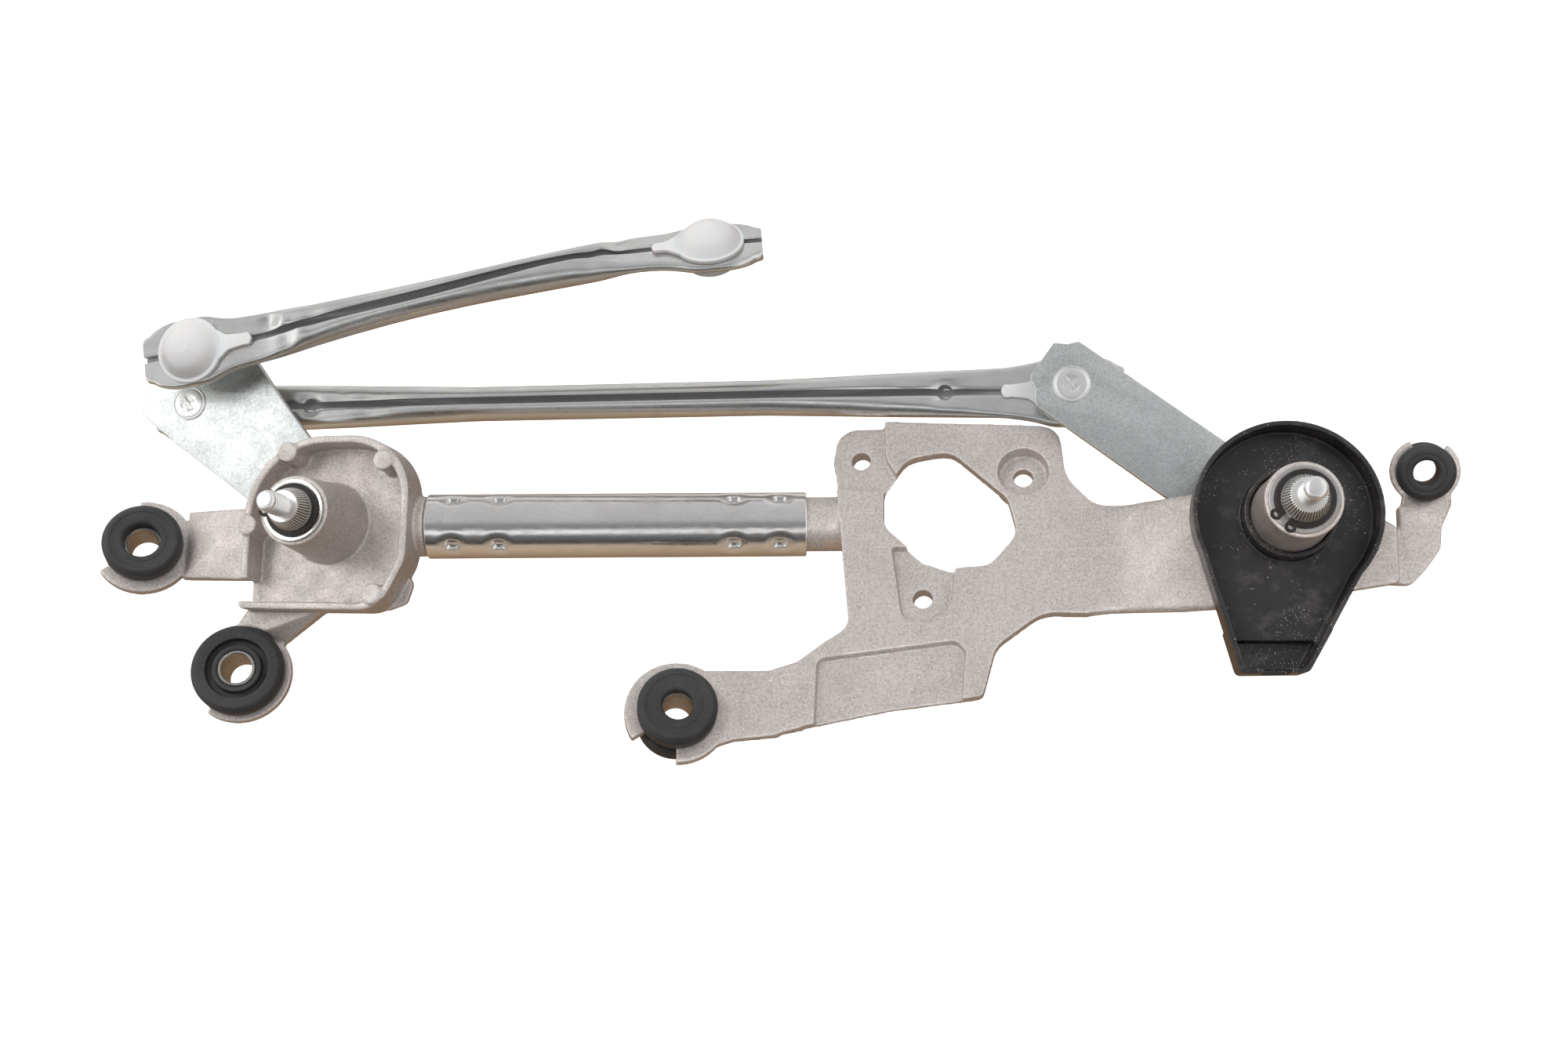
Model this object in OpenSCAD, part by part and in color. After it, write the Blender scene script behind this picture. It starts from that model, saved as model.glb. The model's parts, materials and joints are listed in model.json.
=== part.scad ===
// Windshield wiper linkage: two spindle housings joined by a cross tube,
// with levers, a tie rod, a drive link and rubber-bushed mounting feet.
// Millimetres. +Z runs along the spindles towards the wiper arms, +X from the
// left spindle to the right one. The origin is on the left spindle axis, at
// the shoulder where its M8 thread starts.

/* [Layout] */
// Distance between the two spindle axes
pivot_w = 345; // [335:1:360]
// Slope of the motor plate, falling towards +Y, degrees
plate_tilt = 15; // [13:0.5:16]

/* [Spindles] */
// Shaft diameter
shaft_d = 16; // [15:0.5:16]
// Thread outside diameter
thread_d = 8; // [7:1:9]
// Height of the thread above the knurled cone
thread_len = 13; // [11:0.5:14]
// Radial running clearance of the shaft in its bushes
shaft_gap = 0.03; // [0.02:0.01:0.06]

/* [Linkage] */
// Ball diameter of the studs
ball_d = 16; // [15:0.5:16]
// Tie stud offset from the spindle axis along X
tie_x = -71.5; // [-73:0.5:-70]
// Tie stud offset from the spindle axis along Y
tie_y = 52.2; // [52:0.2:54]
// Drive stud offset from the left spindle axis along X
drv_x = -64.4; // [-65:0.2:-64]
// Drive stud offset from the left spindle axis along Y
drv_y = 69.6; // [69:0.2:71]
// Sheet thickness of the levers
lever_t = 3; // [2.5:0.5:3]
// Diameter of the rolled rods
rod_d = 14; // [12:0.5:14]

/* [Frame] */
// Cross tube outside diameter
tube_d = 24; // [23:0.5:25]
// Cross tube wall
tube_wall = 1.8; // [1.5:0.1:2]
// Motor bolt circle diameter
motor_pcd = 70; // [68:1:72]
// Motor bolt hole diameter
motor_hole_d = 7; // [6.5:0.5:7.5]
// Motor plate thickness
plate_t = 5; // [4:0.5:5]

/* [Feet] */
// Height of the rubber grommets
grommet_h = 20; // [18:1:22]
// Bore of the steel sleeves
sleeve_id = 11; // [10:0.5:11.5]
// Bore of the small right-hand grommet
small_bore = 8.4; // [8:0.2:9]

/* [Hidden] */
$fn = 64;
seat = 9;                      // thread shoulder above the boss top
lev_z = -50;                   // lever top above which the boss sits
drv_ball_z = -38;              // drive stud ball centre
tie_ball_z = -62;              // tie stud ball centre
sr = shaft_d / 2 - shaft_gap;
brad = 9.5;                    // bush outside radius
tube_a = [36.6, -0.6, -36];
tube_b = [pivot_w - 170, 2.8, -60];
motor_x = -121.4;              // motor centre from the right spindle
motor_y = 8.1;                 // the same, along the sloped plate
bolt_a = 23.4;                 // angle of the first motor bolt
crank_c = [139.6, 105.8, -42]; // centre of the free socket of the drive link
crank_n = [0.05, 0.58, 0.81];
// feet: [fork centre, axis, grommet diameter, groove radius, fork radius]
foot_l = [[-70.2, -9.6, -24], [0.38, 0.20, 0.90], 28, 9.5, 17.8];
foot_ll = [[-29.9, -56.2, -27.4], [0.28, 0.15, 0.945], 32.5, 11, 18.2];
foot_m = [[134.8, -69.4, -26], [0.2356, 0.3078, 0.9218], 28, 9.5, 18.4];
foot_r = [[pivot_w + 46.4, 15.8, -37.5], [-0.166, -0.25, 0.954], 19, 6.6, 11.3];

// ---- helpers -------------------------------------------------------------
module lift() translate([0, 0, -seat]) children();
module right() translate([pivot_w, 0, 0]) children();
module tilt(n) rotate([-asin(n[1] / norm(n)), atan2(n[0], n[2]), 0]) children();
module at_foot(f) translate(f[0]) tilt(f[1]) children();
module on_plate() right() translate([0, 0, lev_z]) rotate([-plate_tilt, 0, 0])
  translate([motor_x, motor_y, 0]) children();
module along(a, b) translate(a)
  rotate([0, acos((b[2] - a[2]) / norm(b - a)), atan2(b[1] - a[1], b[0] - a[0])]) children();
module ring(ro, ri, h) difference() {
  cylinder(r = ro, h = h);
  translate([0, 0, -1]) cylinder(r = ri, h = h + 2);
}
// corner of a polygon rounded with radius p1[2]
function corner(p0, p1, p2) =
  let (n = max(4, ceil(p1[2] / 2)), a = [p0[0] - p1[0], p0[1] - p1[1]], b = [p2[0] - p1[0], p2[1] - p1[1]],
       u = a / norm(a), v = b / norm(b), h = acos(max(-1, min(1, u * v))) / 2,
       t = min(p1[2] / tan(h), 0.49 * min(norm(a), norm(b))), r = t * tan(h),
       c = [p1[0], p1[1]] + (u + v) / norm(u + v) * r / sin(h),
       e = [p1[0], p1[1]] + u * t - c, f = [p1[0], p1[1]] + v * t - c,
       s = atan2(e[1], e[0]), d = (atan2(f[1], f[0]) - s + 540) % 360 - 180)
  p1[2] < 0.05 ? [[p1[0], p1[1]]] : [for (i = [0:n]) c + r * [cos(s + d * i / n), sin(s + d * i / n)]];
function rounded(p) = [for (i = [0:len(p) - 1])
  each corner(p[(i + len(p) - 1) % len(p)], p[i], p[(i + 1) % len(p)])];
module slab(p, z0, z1) translate([0, 0, z0]) linear_extrude(z1 - z0) polygon(rounded(p));

// ---- castings ------------------------------------------------------------
pan = [[-28.8, 31.2, 30], [34.3, 31.2, 30], [34.3, -15, 14], [25, -33.6, 12], [-28.8, -33, 2]];
pan_in = [[-26, 28.4, 27.2], [31.5, 28.4, 27.2], [31.5, -14.2, 12], [23.4, -30.8, 10], [-26, -30.4, 2.5]];

// open fork that grips a grommet groove; gap from angle a0 to a1
module fork(f, a0, a1) at_foot(f) difference() {
  translate([0, 0, -2.1]) cylinder(r = f[4], h = 4.2);
  translate([0, 0, -3]) linear_extrude(6) polygon([[0, 0], 40 * [cos(a0), sin(a0)],
    60 * [cos((a0 + a1) / 2), sin((a0 + a1) / 2)], 40 * [cos(a1), sin(a1)]]);
}
// spindle barrel: draft, bush bores and the seal counterbore
module barrel(r1, r2, zb) {
  translate([0, 0, zb]) cylinder(r1 = r1, r2 = r2, h = -zb);
  translate([0, 0, -45.5]) cylinder(r = 13.5, h = 20);
}
module barrel_bore() {
  translate([0, 0, -46]) cylinder(r = brad, h = 46 - 3);
  translate([0, 0, -4]) cylinder(r = 10.45, h = 5);
}
module left_housing() color("silver") lift() difference() {
  union() {
    difference() {
      slab(pan, -34, -19);
      slab(pan_in, -30, -10);
      translate([-40, -30.1, -29.8]) cube([18, 8.3, 20]);
    }
    barrel(15.1, 12.5, -31);
    // four flat pads on the rim
    for (p = [[-13.2, 25.2], [24.2, 21.6], [22.6, -27.6], [-27.2, -2]])
      translate([p[0], p[1], -32]) cylinder(r = 3.4, h = 13.3);
    // neck and stub for the cross tube
    difference() {
      along(tube_a, tube_b) translate([0, 0, -30]) cylinder(d = 20.4, h = 62);
      translate([2, 0, -30.7]) cylinder(r = 30.2, h = 20);
    }
    along(tube_a, tube_b) translate([0, 0, -6]) cylinder(d = 22.4, h = 5.5);
    // arm of the left foot
    hull() {
      slab([[-30, 5.6, 0], [-30, -21.4, 0], [-27, -21.4, 0], [-27, 5.6, 0]], -32, -26.5);
      at_foot(foot_l) translate([14.8, -11.5, -1.9]) cube([2.8, 26, 3.8]);
    }
    fork(foot_l, 100, 215);
    // arm of the lower foot
    hull() {
      slab([[-27, -32, 0], [2, -32, 0], [2, -30, 0], [-27, -30, 0]], -32, -26.5);
      at_foot(foot_ll) translate([-3, 11.5, -1.9]) cube([18, 6, 3.8]);
    }
    fork(foot_ll, 150, 235);
    slab([[22, -20, 2], [34, -20, 3], [31, -30, 3], [20, -34, 3]], -33.6, -31);
  }
  barrel_bore();
  at_foot(foot_l) translate([0, 0, -12]) cylinder(r = foot_l[3] + 0.15, h = 24);
  at_foot(foot_ll) translate([0, 0, -12]) cylinder(r = foot_ll[3] + 0.15, h = 24);
  // clearance round the rubber discs
  at_foot(foot_l) translate([0, 0, 2.2]) cylinder(d = foot_l[2] + 1, h = 14);
  at_foot(foot_l) translate([0, 0, -16.2]) cylinder(d = foot_l[2] + 1, h = 14);
  at_foot(foot_ll) translate([0, 0, 2.2]) cylinder(d = foot_ll[2] + 1, h = 14);
  at_foot(foot_ll) translate([0, 0, -16.2]) cylinder(d = foot_ll[2] + 1, h = 14);
}

plate_out = [[-37.6, 15.9, 3], [-38.6, 34.4, 10], [-20, 34.4, 0.3], [-19.6, 35.5, 0.5], [45.4, 32.3, 8],
  [47.4, 11.4, 16], [56.9, 0.7, 12], [67.4, 1.4, 0], [67.4, -42, 0], [38.4, -41.4, 14], [22.2, -54, 10],
  [17.6, -72.4, 3], [-15.6, -77.2, 5], [-47.6, -84.4, 0], [-47.6, -59.6, 0], [-38.6, -52.6, 8], [-30, -46.6, 6]];
opening = [[-19, 6, 8], [-10.6, 19.4, 9], [5.4, 22.4, 9], [26.4, 3, 8], [29.9, -11, 8], [20, -23.2, 7],
  [6, -24.4, 3], [-4.6, -20.6, 3], [-18.6, -7.6, 8]];
module motor_holes() for (k = [0, 1, 2]) rotate(bolt_a + 120 * k)
  translate([motor_pcd / 2, 0, 0]) children();
module right_bracket() color("silver") lift() difference() {
  union() {
    on_plate() slab(plate_out, -plate_t, 0);
    // bosses under the motor bolts
    on_plate() motor_holes() translate([0, 0, -11]) cylinder(r = 10.5, h = 10.5);
    // stub for the cross tube, running under the plate
    along(tube_a, tube_b) translate([0, 0, norm(tube_b - tube_a) - 30]) cylinder(d = 20.4, h = 52);
    // ramp from the plate up to the spindle flange
    hull() {
      on_plate() translate([66, -41.9, -plate_t + 0.1]) cube([1.2, 43.2, plate_t - 0.2]);
      right() translate([-26.4, -33.4, -39.4]) cube([2, 44, 4.8]);
    }
    right() slab([[-26, 10.8, 0], [-12, 18, 6], [12, 17, 8], [24, 4, 10], [36, -3.9, 0.5], [36, -23, 2],
      [18, -26, 10], [-26, -33.5, 2]], -39.5, -34.5);
    right() barrel(13.5, 12.5, -36);
    // lower arm and its fork
    at_foot(foot_m) slab([[8.5, 15.7, 0], [34, 16.4, 0], [36, -7.8, 0], [20, -9.7, 4], [13, -12.1, 0]], -1.9, 1.9);
    hull() {
      on_plate() translate([-47.4, -84.3, -plate_t + 0.1]) cube([2, 24.6, plate_t - 0.2]);
      at_foot(foot_m) translate([32.5, -7.7, -1.8]) cube([1, 24, 3.6]);
    }
    fork(foot_m, -147, -90);
    // right arm, its riser and fork
    right() slab([[20, -3.9, 0], [37.3, -3.9, 0.5], [37.3, 4, 1], [51.7, 2, 1], [50.5, -11, 5], [45.5, -18, 4], [40.5, -23.4, 3], [20, -22.5, 0]], -42.5, -37.5);
    right() hull() {
      translate([37.7, -3.7, -42.4]) cube([13.4, 4, 4.8]);
      translate([-pivot_w, 0, 0]) at_foot(foot_r) translate([-7, -12, -1.9]) cube([15, 5, 3.8]);
    }
    fork(foot_r, 48, 113);
  }
  right() barrel_bore();
  on_plate() slab(opening, -30, 10);
  on_plate() motor_holes() translate([0, 0, -20]) cylinder(d = motor_hole_d, h = 40);
  // lobe round the upper-left bolt, spot face and open recess for the others
  on_plate() slab([[-45, 8.5, 0], [-10, 6, 0], [-18.5, 20, 6], [-19.8, 45, 0], [-45, 45, 0]], -4, 6);
  on_plate() rotate(bolt_a) translate([motor_pcd / 2, 0, -6]) cylinder(r = 9.2, h = 12);
  on_plate() slab([[-11, -44.2, 8], [-15.5, -16, 0], [8, -16, 0], [6.5, -40, 9], [-3, -45, 8]], -4, 6);
  // weight pocket in the lower arm
  on_plate() slab([[-41, -59, 3], [8, -52, 3], [11.6, -55.6, 2], [9.4, -90, 0], [-41, -90, 0]], -3, 6);
  for (f = [foot_m, foot_r]) {
    at_foot(f) translate([0, 0, -12]) cylinder(r = f[3] + 0.15, h = 24);
    at_foot(f) translate([0, 0, 2.2]) cylinder(d = f[2] + 1, h = 14);
    at_foot(f) translate([0, 0, -16.2]) cylinder(d = f[2] + 1, h = 14);
  }
}

module cross_tube() color("gainsboro") lift() along(tube_a, tube_b) difference() {
  cylinder(d = tube_d, h = norm(tube_b - tube_a));
  translate([0, 0, -1]) cylinder(d = 20.4, h = norm(tube_b - tube_a) + 2);
}

// ---- bushes, seals and retainers ----------------------------------------
module upper_bush() color("darkgoldenrod") translate([0, 0, -16]) ring(brad, shaft_d / 2, 13);
module lower_bush() color("darkgoldenrod") translate([0, 0, -45.5]) ring(brad, shaft_d / 2, 13);
module o_ring() color("black") translate([0, 0, -1.6]) rotate_extrude() translate([9.22, 0]) circle(r = 1.18);
module top_washer() color("gainsboro") translate([0, 0, 0.05]) ring(11.2, 8.1, 1);
module thrust_washer() color("gray") translate([0, 0, -46.55]) ring(11.5, 8.1, 1);
module circlip(a) color("dimgray") translate([0, 0, 1.15]) rotate(a) difference() {
  union() {
    ring(9.7, 7.3, 1);
    for (s = [-1, 1]) rotate(s * 17) translate([10.3, 0, 0]) cylinder(r = 2, h = 1);
  }
  translate([0, 0, -1]) linear_extrude(3) polygon([[0, 0], 20 * [cos(8), sin(8)], 20 * [cos(8), -sin(8)]]);
  for (s = [-1, 1]) rotate(s * 17) translate([10.4, 0, -1]) cylinder(r = 0.9, h = 3);
}
module left_upper_bush() lift() upper_bush();
module left_lower_bush() lift() lower_bush();
module right_upper_bush() lift() right() upper_bush();
module right_lower_bush() lift() right() lower_bush();
module left_o_ring() lift() o_ring();
module right_o_ring() lift() right() o_ring();
module left_top_washer() lift() top_washer();
module right_top_washer() lift() right() top_washer();
module left_thrust_washer() lift() thrust_washer();
module right_thrust_washer() lift() right() thrust_washer();
module left_circlip() lift() circlip(165);
module right_circlip() lift() right() circlip(225);

// ---- feet ----------------------------------------------------------------
module grommet(f, rb) color("#2b2c2e") lift() at_foot(f) rotate_extrude() polygon([
  [rb, -grommet_h / 2], [f[2] / 2 - 1.2, -grommet_h / 2], [f[2] / 2, -grommet_h / 2 + 1.2],
  [f[2] / 2, -3.4], [f[2] / 2 - 1, -2.2], [f[3], -2.2], [f[3], 2.2], [f[2] / 2 - 1, 2.2],
  [f[2] / 2, 3.4], [f[2] / 2, grommet_h / 2 - 1.2], [f[2] / 2 - 1.2, grommet_h / 2], [rb, grommet_h / 2]]);
module sleeve(f, top) color("lightgray") lift() at_foot(f)
  translate([0, 0, -grommet_h / 2]) ring(sleeve_id / 2 + 1, sleeve_id / 2, grommet_h - top);
module left_grommet() grommet(foot_l, sleeve_id / 2 + 1);
module middle_grommet() grommet(foot_m, sleeve_id / 2 + 1);
module right_grommet() grommet(foot_r, small_bore / 2);
module lower_left_grommet() difference() {
  grommet(foot_ll, sleeve_id / 2 + 1);
  lift() at_foot(foot_ll) translate([0, 0, grommet_h / 2 - 3]) ring(11, 8.6, 4);
}
module left_sleeve() sleeve(foot_l, 5);
module middle_sleeve() sleeve(foot_m, 5);
module lower_left_sleeve() sleeve(foot_ll, 0);

// ---- splash cover --------------------------------------------------------
cover_tail = [[-31.4, -8, 0], [-18.5, -54.6, 2], [3.4, -54.2, 3], [28.7, -8, 0]];
cover_tail_in = [[-29.8, -8, 0], [-16.9, -53, 1.5], [2.5, -52.6, 2], [27, -8, 0]];
module splash_cover() color("#1d1e20") lift() right() difference() {
  union() {
    translate([-1.5, -0.2, -34]) cylinder(r = 31.2, h = 12);
    slab(cover_tail, -34, -22);
    slab([[-22.5, -40, 0], [-18.5, -54.6, 2], [3.4, -54.2, 3], [11.4, -40, 0]], -38, -22);
  }
  difference() {
    union() {
      translate([-1.5, -0.2, -32.2]) cylinder(r = 29.5, h = 13);
      slab(cover_tail_in, -32.2, -20);
      slab([[-19, -43, 0], [-16.4, -53, 1], [2, -52.6, 1], [7.6, -43, 0]], -36.2, -20);
    }
    translate([0, 0, -33]) ring(15.6, 13.9, 9);
  }
  translate([0, 0, -40]) cylinder(r = 13.9, h = 30);
  translate([-11, -60, -32]) cube([9, 10, 20]);
}

// ---- spindles, levers and studs -----------------------------------------
module spindle() color("lightgray") rotate_extrude() polygon([
  [0, lev_z - lever_t - 2], [7.4, lev_z - lever_t - 2], [8, lev_z - lever_t - 1.4], [8, lev_z - lever_t],
  [6, lev_z - lever_t], [6, lev_z], [10, lev_z], [10, -46.6], [sr, -46.6], [sr, 1.1],
  [7.25, 1.1], [7.25, 2.2], [7.8, 2.2], [7.8, 2.8], [5.9, seat], [thread_d / 2, seat],
  [thread_d / 2, seat + thread_len - 0.6], [thread_d / 2 - 0.6, seat + thread_len], [0, seat + thread_len]]);
module lever_hole(x, y, r) translate([x, y, lev_z - 10]) cylinder(r = r, h = 20);
module left_lever() color("lightgray") lift() difference() {
  slab([[-42.5, 12, 4], [-56.9, 22.4, 30], [-76.5, 36.2, 30], [-91, 47.6, 8], [-92.8, 56, 3], [-88.6, 62.6, 3],
    [-84, 82, 16], [-58, 88, 16], [-44.4, 69, 8], [-33.1, 53.7, 20], [-20, 37.4, 20], [16, 6, 12], [10, -18, 14], [-14, -14, 12]],
    lev_z - lever_t, lev_z);
  lever_hole(0, 0, 6);
  lever_hole(tie_x, tie_y, 5);
  lever_hole(drv_x, drv_y, 5);
}
module right_lever() color("lightgray") lift() right() difference() {
  slab([[-72.8, 67.3, 1], [-77.8, 67.9, 1], [-86.7, 55.3, 2], [-84.8, 50.9, 1], [-84.8, 44.8, 2],
    [-39.8, 10.5, 0], [-20, -4, 10], [-8, -16, 12], [14, -10, 12], [13, 9, 12], [-17.8, 29.9, 30], [-68.6, 68.2, 2]],
    lev_z - lever_t, lev_z);
  lever_hole(0, 0, 6);
  lever_hole(tie_x, tie_y, 5);
}
// ball stud riveted in a lever: s = 1 points up, -1 points down
module stud(bz, s) color("silver") {
  translate([0, 0, bz]) sphere(d = ball_d);
  translate([0, 0, s > 0 ? lev_z : bz]) cylinder(r = 4.6, h = s > 0 ? bz - lev_z : lev_z - lever_t - bz);
  translate([0, 0, s > 0 ? lev_z : lev_z - lever_t - 1.2]) cylinder(r = 6.4, h = 1.2);
  translate([0, 0, lev_z - lever_t]) cylinder(r = 5, h = lever_t);
  translate([0, 0, s > 0 ? lev_z - lever_t - 0.8 : lev_z]) cylinder(r = 6.2, h = 0.8);
}
module left_spindle() lift() spindle();
module right_spindle() lift() right() spindle();
module left_tie_stud() lift() translate([tie_x, tie_y, 0]) stud(tie_ball_z, -1);
module right_tie_stud() lift() right() translate([tie_x, tie_y, 0]) stud(tie_ball_z, -1);
module drive_stud() lift() translate([drv_x, drv_y, 0]) stud(drv_ball_z, 1);

// ---- rods and sockets ----------------------------------------------------
// nylon socket about its ball centre, dome towards +Z, with a locating tongue
module socket(flip, fl, dir) color("white") difference() {
  union() {
    difference() {
      sphere(r = 10.4);
      translate([0, 0, 2.1 - 12]) cylinder(r = 12, h = 12);
    }
    translate([0, 0, -6.4]) cylinder(r = 10, h = 8.6);
    translate([0, 0, fl]) cylinder(r = 13.1, h = 1.6);
    rotate(dir) translate([0, -2.3, fl]) cube([23.5, 4.6, 1.6]);
    rotate(dir) translate([23.5, 0, fl]) cylinder(r = 2.3, h = 1.6);
  }
  sphere(r = ball_d / 2 + 0.06);
  translate([0, 0, -24]) cylinder(r = 18, h = 24 - 6.4);
  translate([0, 0, -12]) cylinder(r = 6.8, h = 12);
}
drv_dir = atan2(crank_c[1] - drv_y, crank_c[0] - drv_x);
module drive_socket_lever() lift() translate([drv_x, drv_y, drv_ball_z]) socket(0, 2.1, drv_dir);
module drive_socket_crank() lift() translate(crank_c) tilt(crank_n) socket(0, 2.1, drv_dir + 180);
module tie_socket_left() lift() translate([tie_x, tie_y, tie_ball_z]) mirror([0, 0, 1]) socket(0, -3.7, 0);
module tie_socket_right() lift() right() translate([tie_x, tie_y, tie_ball_z]) mirror([0, 0, 1]) socket(0, -3.7, 180);

// flattened rod end round a socket hole; x runs inwards along the rod
module rod_end() difference() {
  slab([[-19.6, 4, 2], [-17.5, 9.5, 2], [-13, 12.5, 3], [0, 13.4, 6], [12, 12.2, 6], [27, 10, 4], [40, 6.5, 0],
    [40, -6.5, 0], [27, -10, 4], [12, -12.2, 6], [0, -13.8, 6], [-13, -12.5, 3], [-19.2, -6, 2]], -2, 2);
  translate([0, 0, -3]) cylinder(r = 10.1, h = 6);
}
// rolled sheet rod along X with its open seam on top
module rolled(l) difference() {
  rotate([0, 90, 0]) cylinder(d = rod_d, h = l);
  translate([-1, 0, 0]) rotate([0, 90, 0]) cylinder(d = rod_d - 3.2, h = l + 2);
  translate([-1, -1.2, 2]) cube([l + 2, 2.4, 8]);
}
module tie_rod() color("silver") lift() difference() {
  union() {
    translate([tie_x, tie_y, tie_ball_z]) rod_end();
    right() translate([tie_x, tie_y, tie_ball_z]) rotate(180) rod_end();
    translate([tie_x + 36, tie_y, tie_ball_z]) rolled(pivot_w - 72);
  }
  for (x = [-25, 227.6 - 345 + pivot_w]) translate([x, tie_y, tie_ball_z]) cylinder(r = 2.6, h = 12);
}
module drive_link() color("silver") lift() {
  a = [drv_x, drv_y, drv_ball_z];
  u = (crank_c - a) / norm(crank_c - a);
  translate(a) rotate(drv_dir) rod_end();
  translate(crank_c) tilt(crank_n) rotate(drv_dir + 180) rod_end();
  translate(a + 36 * u) rotate([0, -asin(u[2]), drv_dir]) rolled(norm(crank_c - a) - 70);
}

left_housing();
right_bracket();
cross_tube();
left_upper_bush();
left_lower_bush();
right_upper_bush();
right_lower_bush();
left_grommet();
lower_left_grommet();
middle_grommet();
right_grommet();
left_sleeve();
lower_left_sleeve();
middle_sleeve();
splash_cover();
left_spindle();
left_lever();
left_top_washer();
left_circlip();
left_o_ring();
left_thrust_washer();
left_tie_stud();
drive_stud();
right_spindle();
right_lever();
right_top_washer();
right_circlip();
right_o_ring();
right_thrust_washer();
right_tie_stud();
tie_rod();
tie_socket_left();
tie_socket_right();
drive_link();
drive_socket_lever();
drive_socket_crank();
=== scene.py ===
import bpy
import bmesh
import json
import math
import numpy as np
from mathutils import Vector, Matrix


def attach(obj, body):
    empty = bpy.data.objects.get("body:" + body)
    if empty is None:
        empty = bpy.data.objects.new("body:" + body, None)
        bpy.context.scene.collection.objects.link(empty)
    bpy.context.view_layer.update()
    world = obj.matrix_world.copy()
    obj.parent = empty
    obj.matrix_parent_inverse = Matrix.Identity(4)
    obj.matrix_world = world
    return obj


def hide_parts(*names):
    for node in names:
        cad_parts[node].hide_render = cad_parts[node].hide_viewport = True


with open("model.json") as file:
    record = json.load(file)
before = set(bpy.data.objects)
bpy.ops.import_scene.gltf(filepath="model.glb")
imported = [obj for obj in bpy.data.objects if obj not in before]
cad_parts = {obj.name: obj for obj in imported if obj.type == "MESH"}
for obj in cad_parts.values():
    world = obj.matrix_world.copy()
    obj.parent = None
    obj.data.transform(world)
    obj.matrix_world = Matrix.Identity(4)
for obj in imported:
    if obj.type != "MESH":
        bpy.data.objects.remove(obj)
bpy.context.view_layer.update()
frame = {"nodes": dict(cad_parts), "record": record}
N = frame["nodes"]
MM = 0.001
LIFT = Vector((0.0, 0.0, -9.0))
PIVOT = 345.0
LEFT = Vector((0.0, 0.0, 0.0))
RIGHT = Vector((PIVOT, 0.0, 0.0))
TIE = (-71.5, 52.2)
DRV = (-64.4, 69.6)
DRV_Z = -38.0
TIE_Z = -62.0
LEV_Z = -50.0
CRANK = Vector((139.6, 105.8, -42.0))
CRANK_N = Vector((0.05, 0.58, 0.81)).normalized()
TUBE_A = Vector((36.6, -0.6, -36.0))
TUBE_B = Vector((175.0, 2.8, -60.0))
FEET = {
    "l": (Vector((-70.2, -9.6, -24.0)), Vector((0.38, 0.20, 0.90)), 28.0, 9.5),
    "ll": (Vector((-29.9, -56.2, -27.4)), Vector((0.28, 0.15, 0.945)), 32.5, 11.0),
    "m": (Vector((134.8, -69.4, -26.0)), Vector((0.2356, 0.3078, 0.9218)), 28.0, 9.5),
    "r": (Vector((391.4, 15.8, -37.5)), Vector((-0.166, -0.25, 0.954)), 19.0, 6.6),
}


def tilt(n):
    """Rotation that takes +Z to n: about X, then about Y."""
    n = n.normalized()
    return Matrix.Rotation(math.atan2(n.x, n.z), 4, "Y") @ Matrix.Rotation(-math.asin(n.y), 4, "X")


def place(origin, rot=None):
    m = Matrix.Translation((Vector(origin) + LIFT))
    return m @ rot if rot is not None else m


# ---------------------------------------------------------------- materials
def new_mat(name):
    m = bpy.data.materials.new(name)
    m.use_nodes = True
    nt = m.node_tree
    nt.nodes.clear()
    return m, nt


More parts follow.
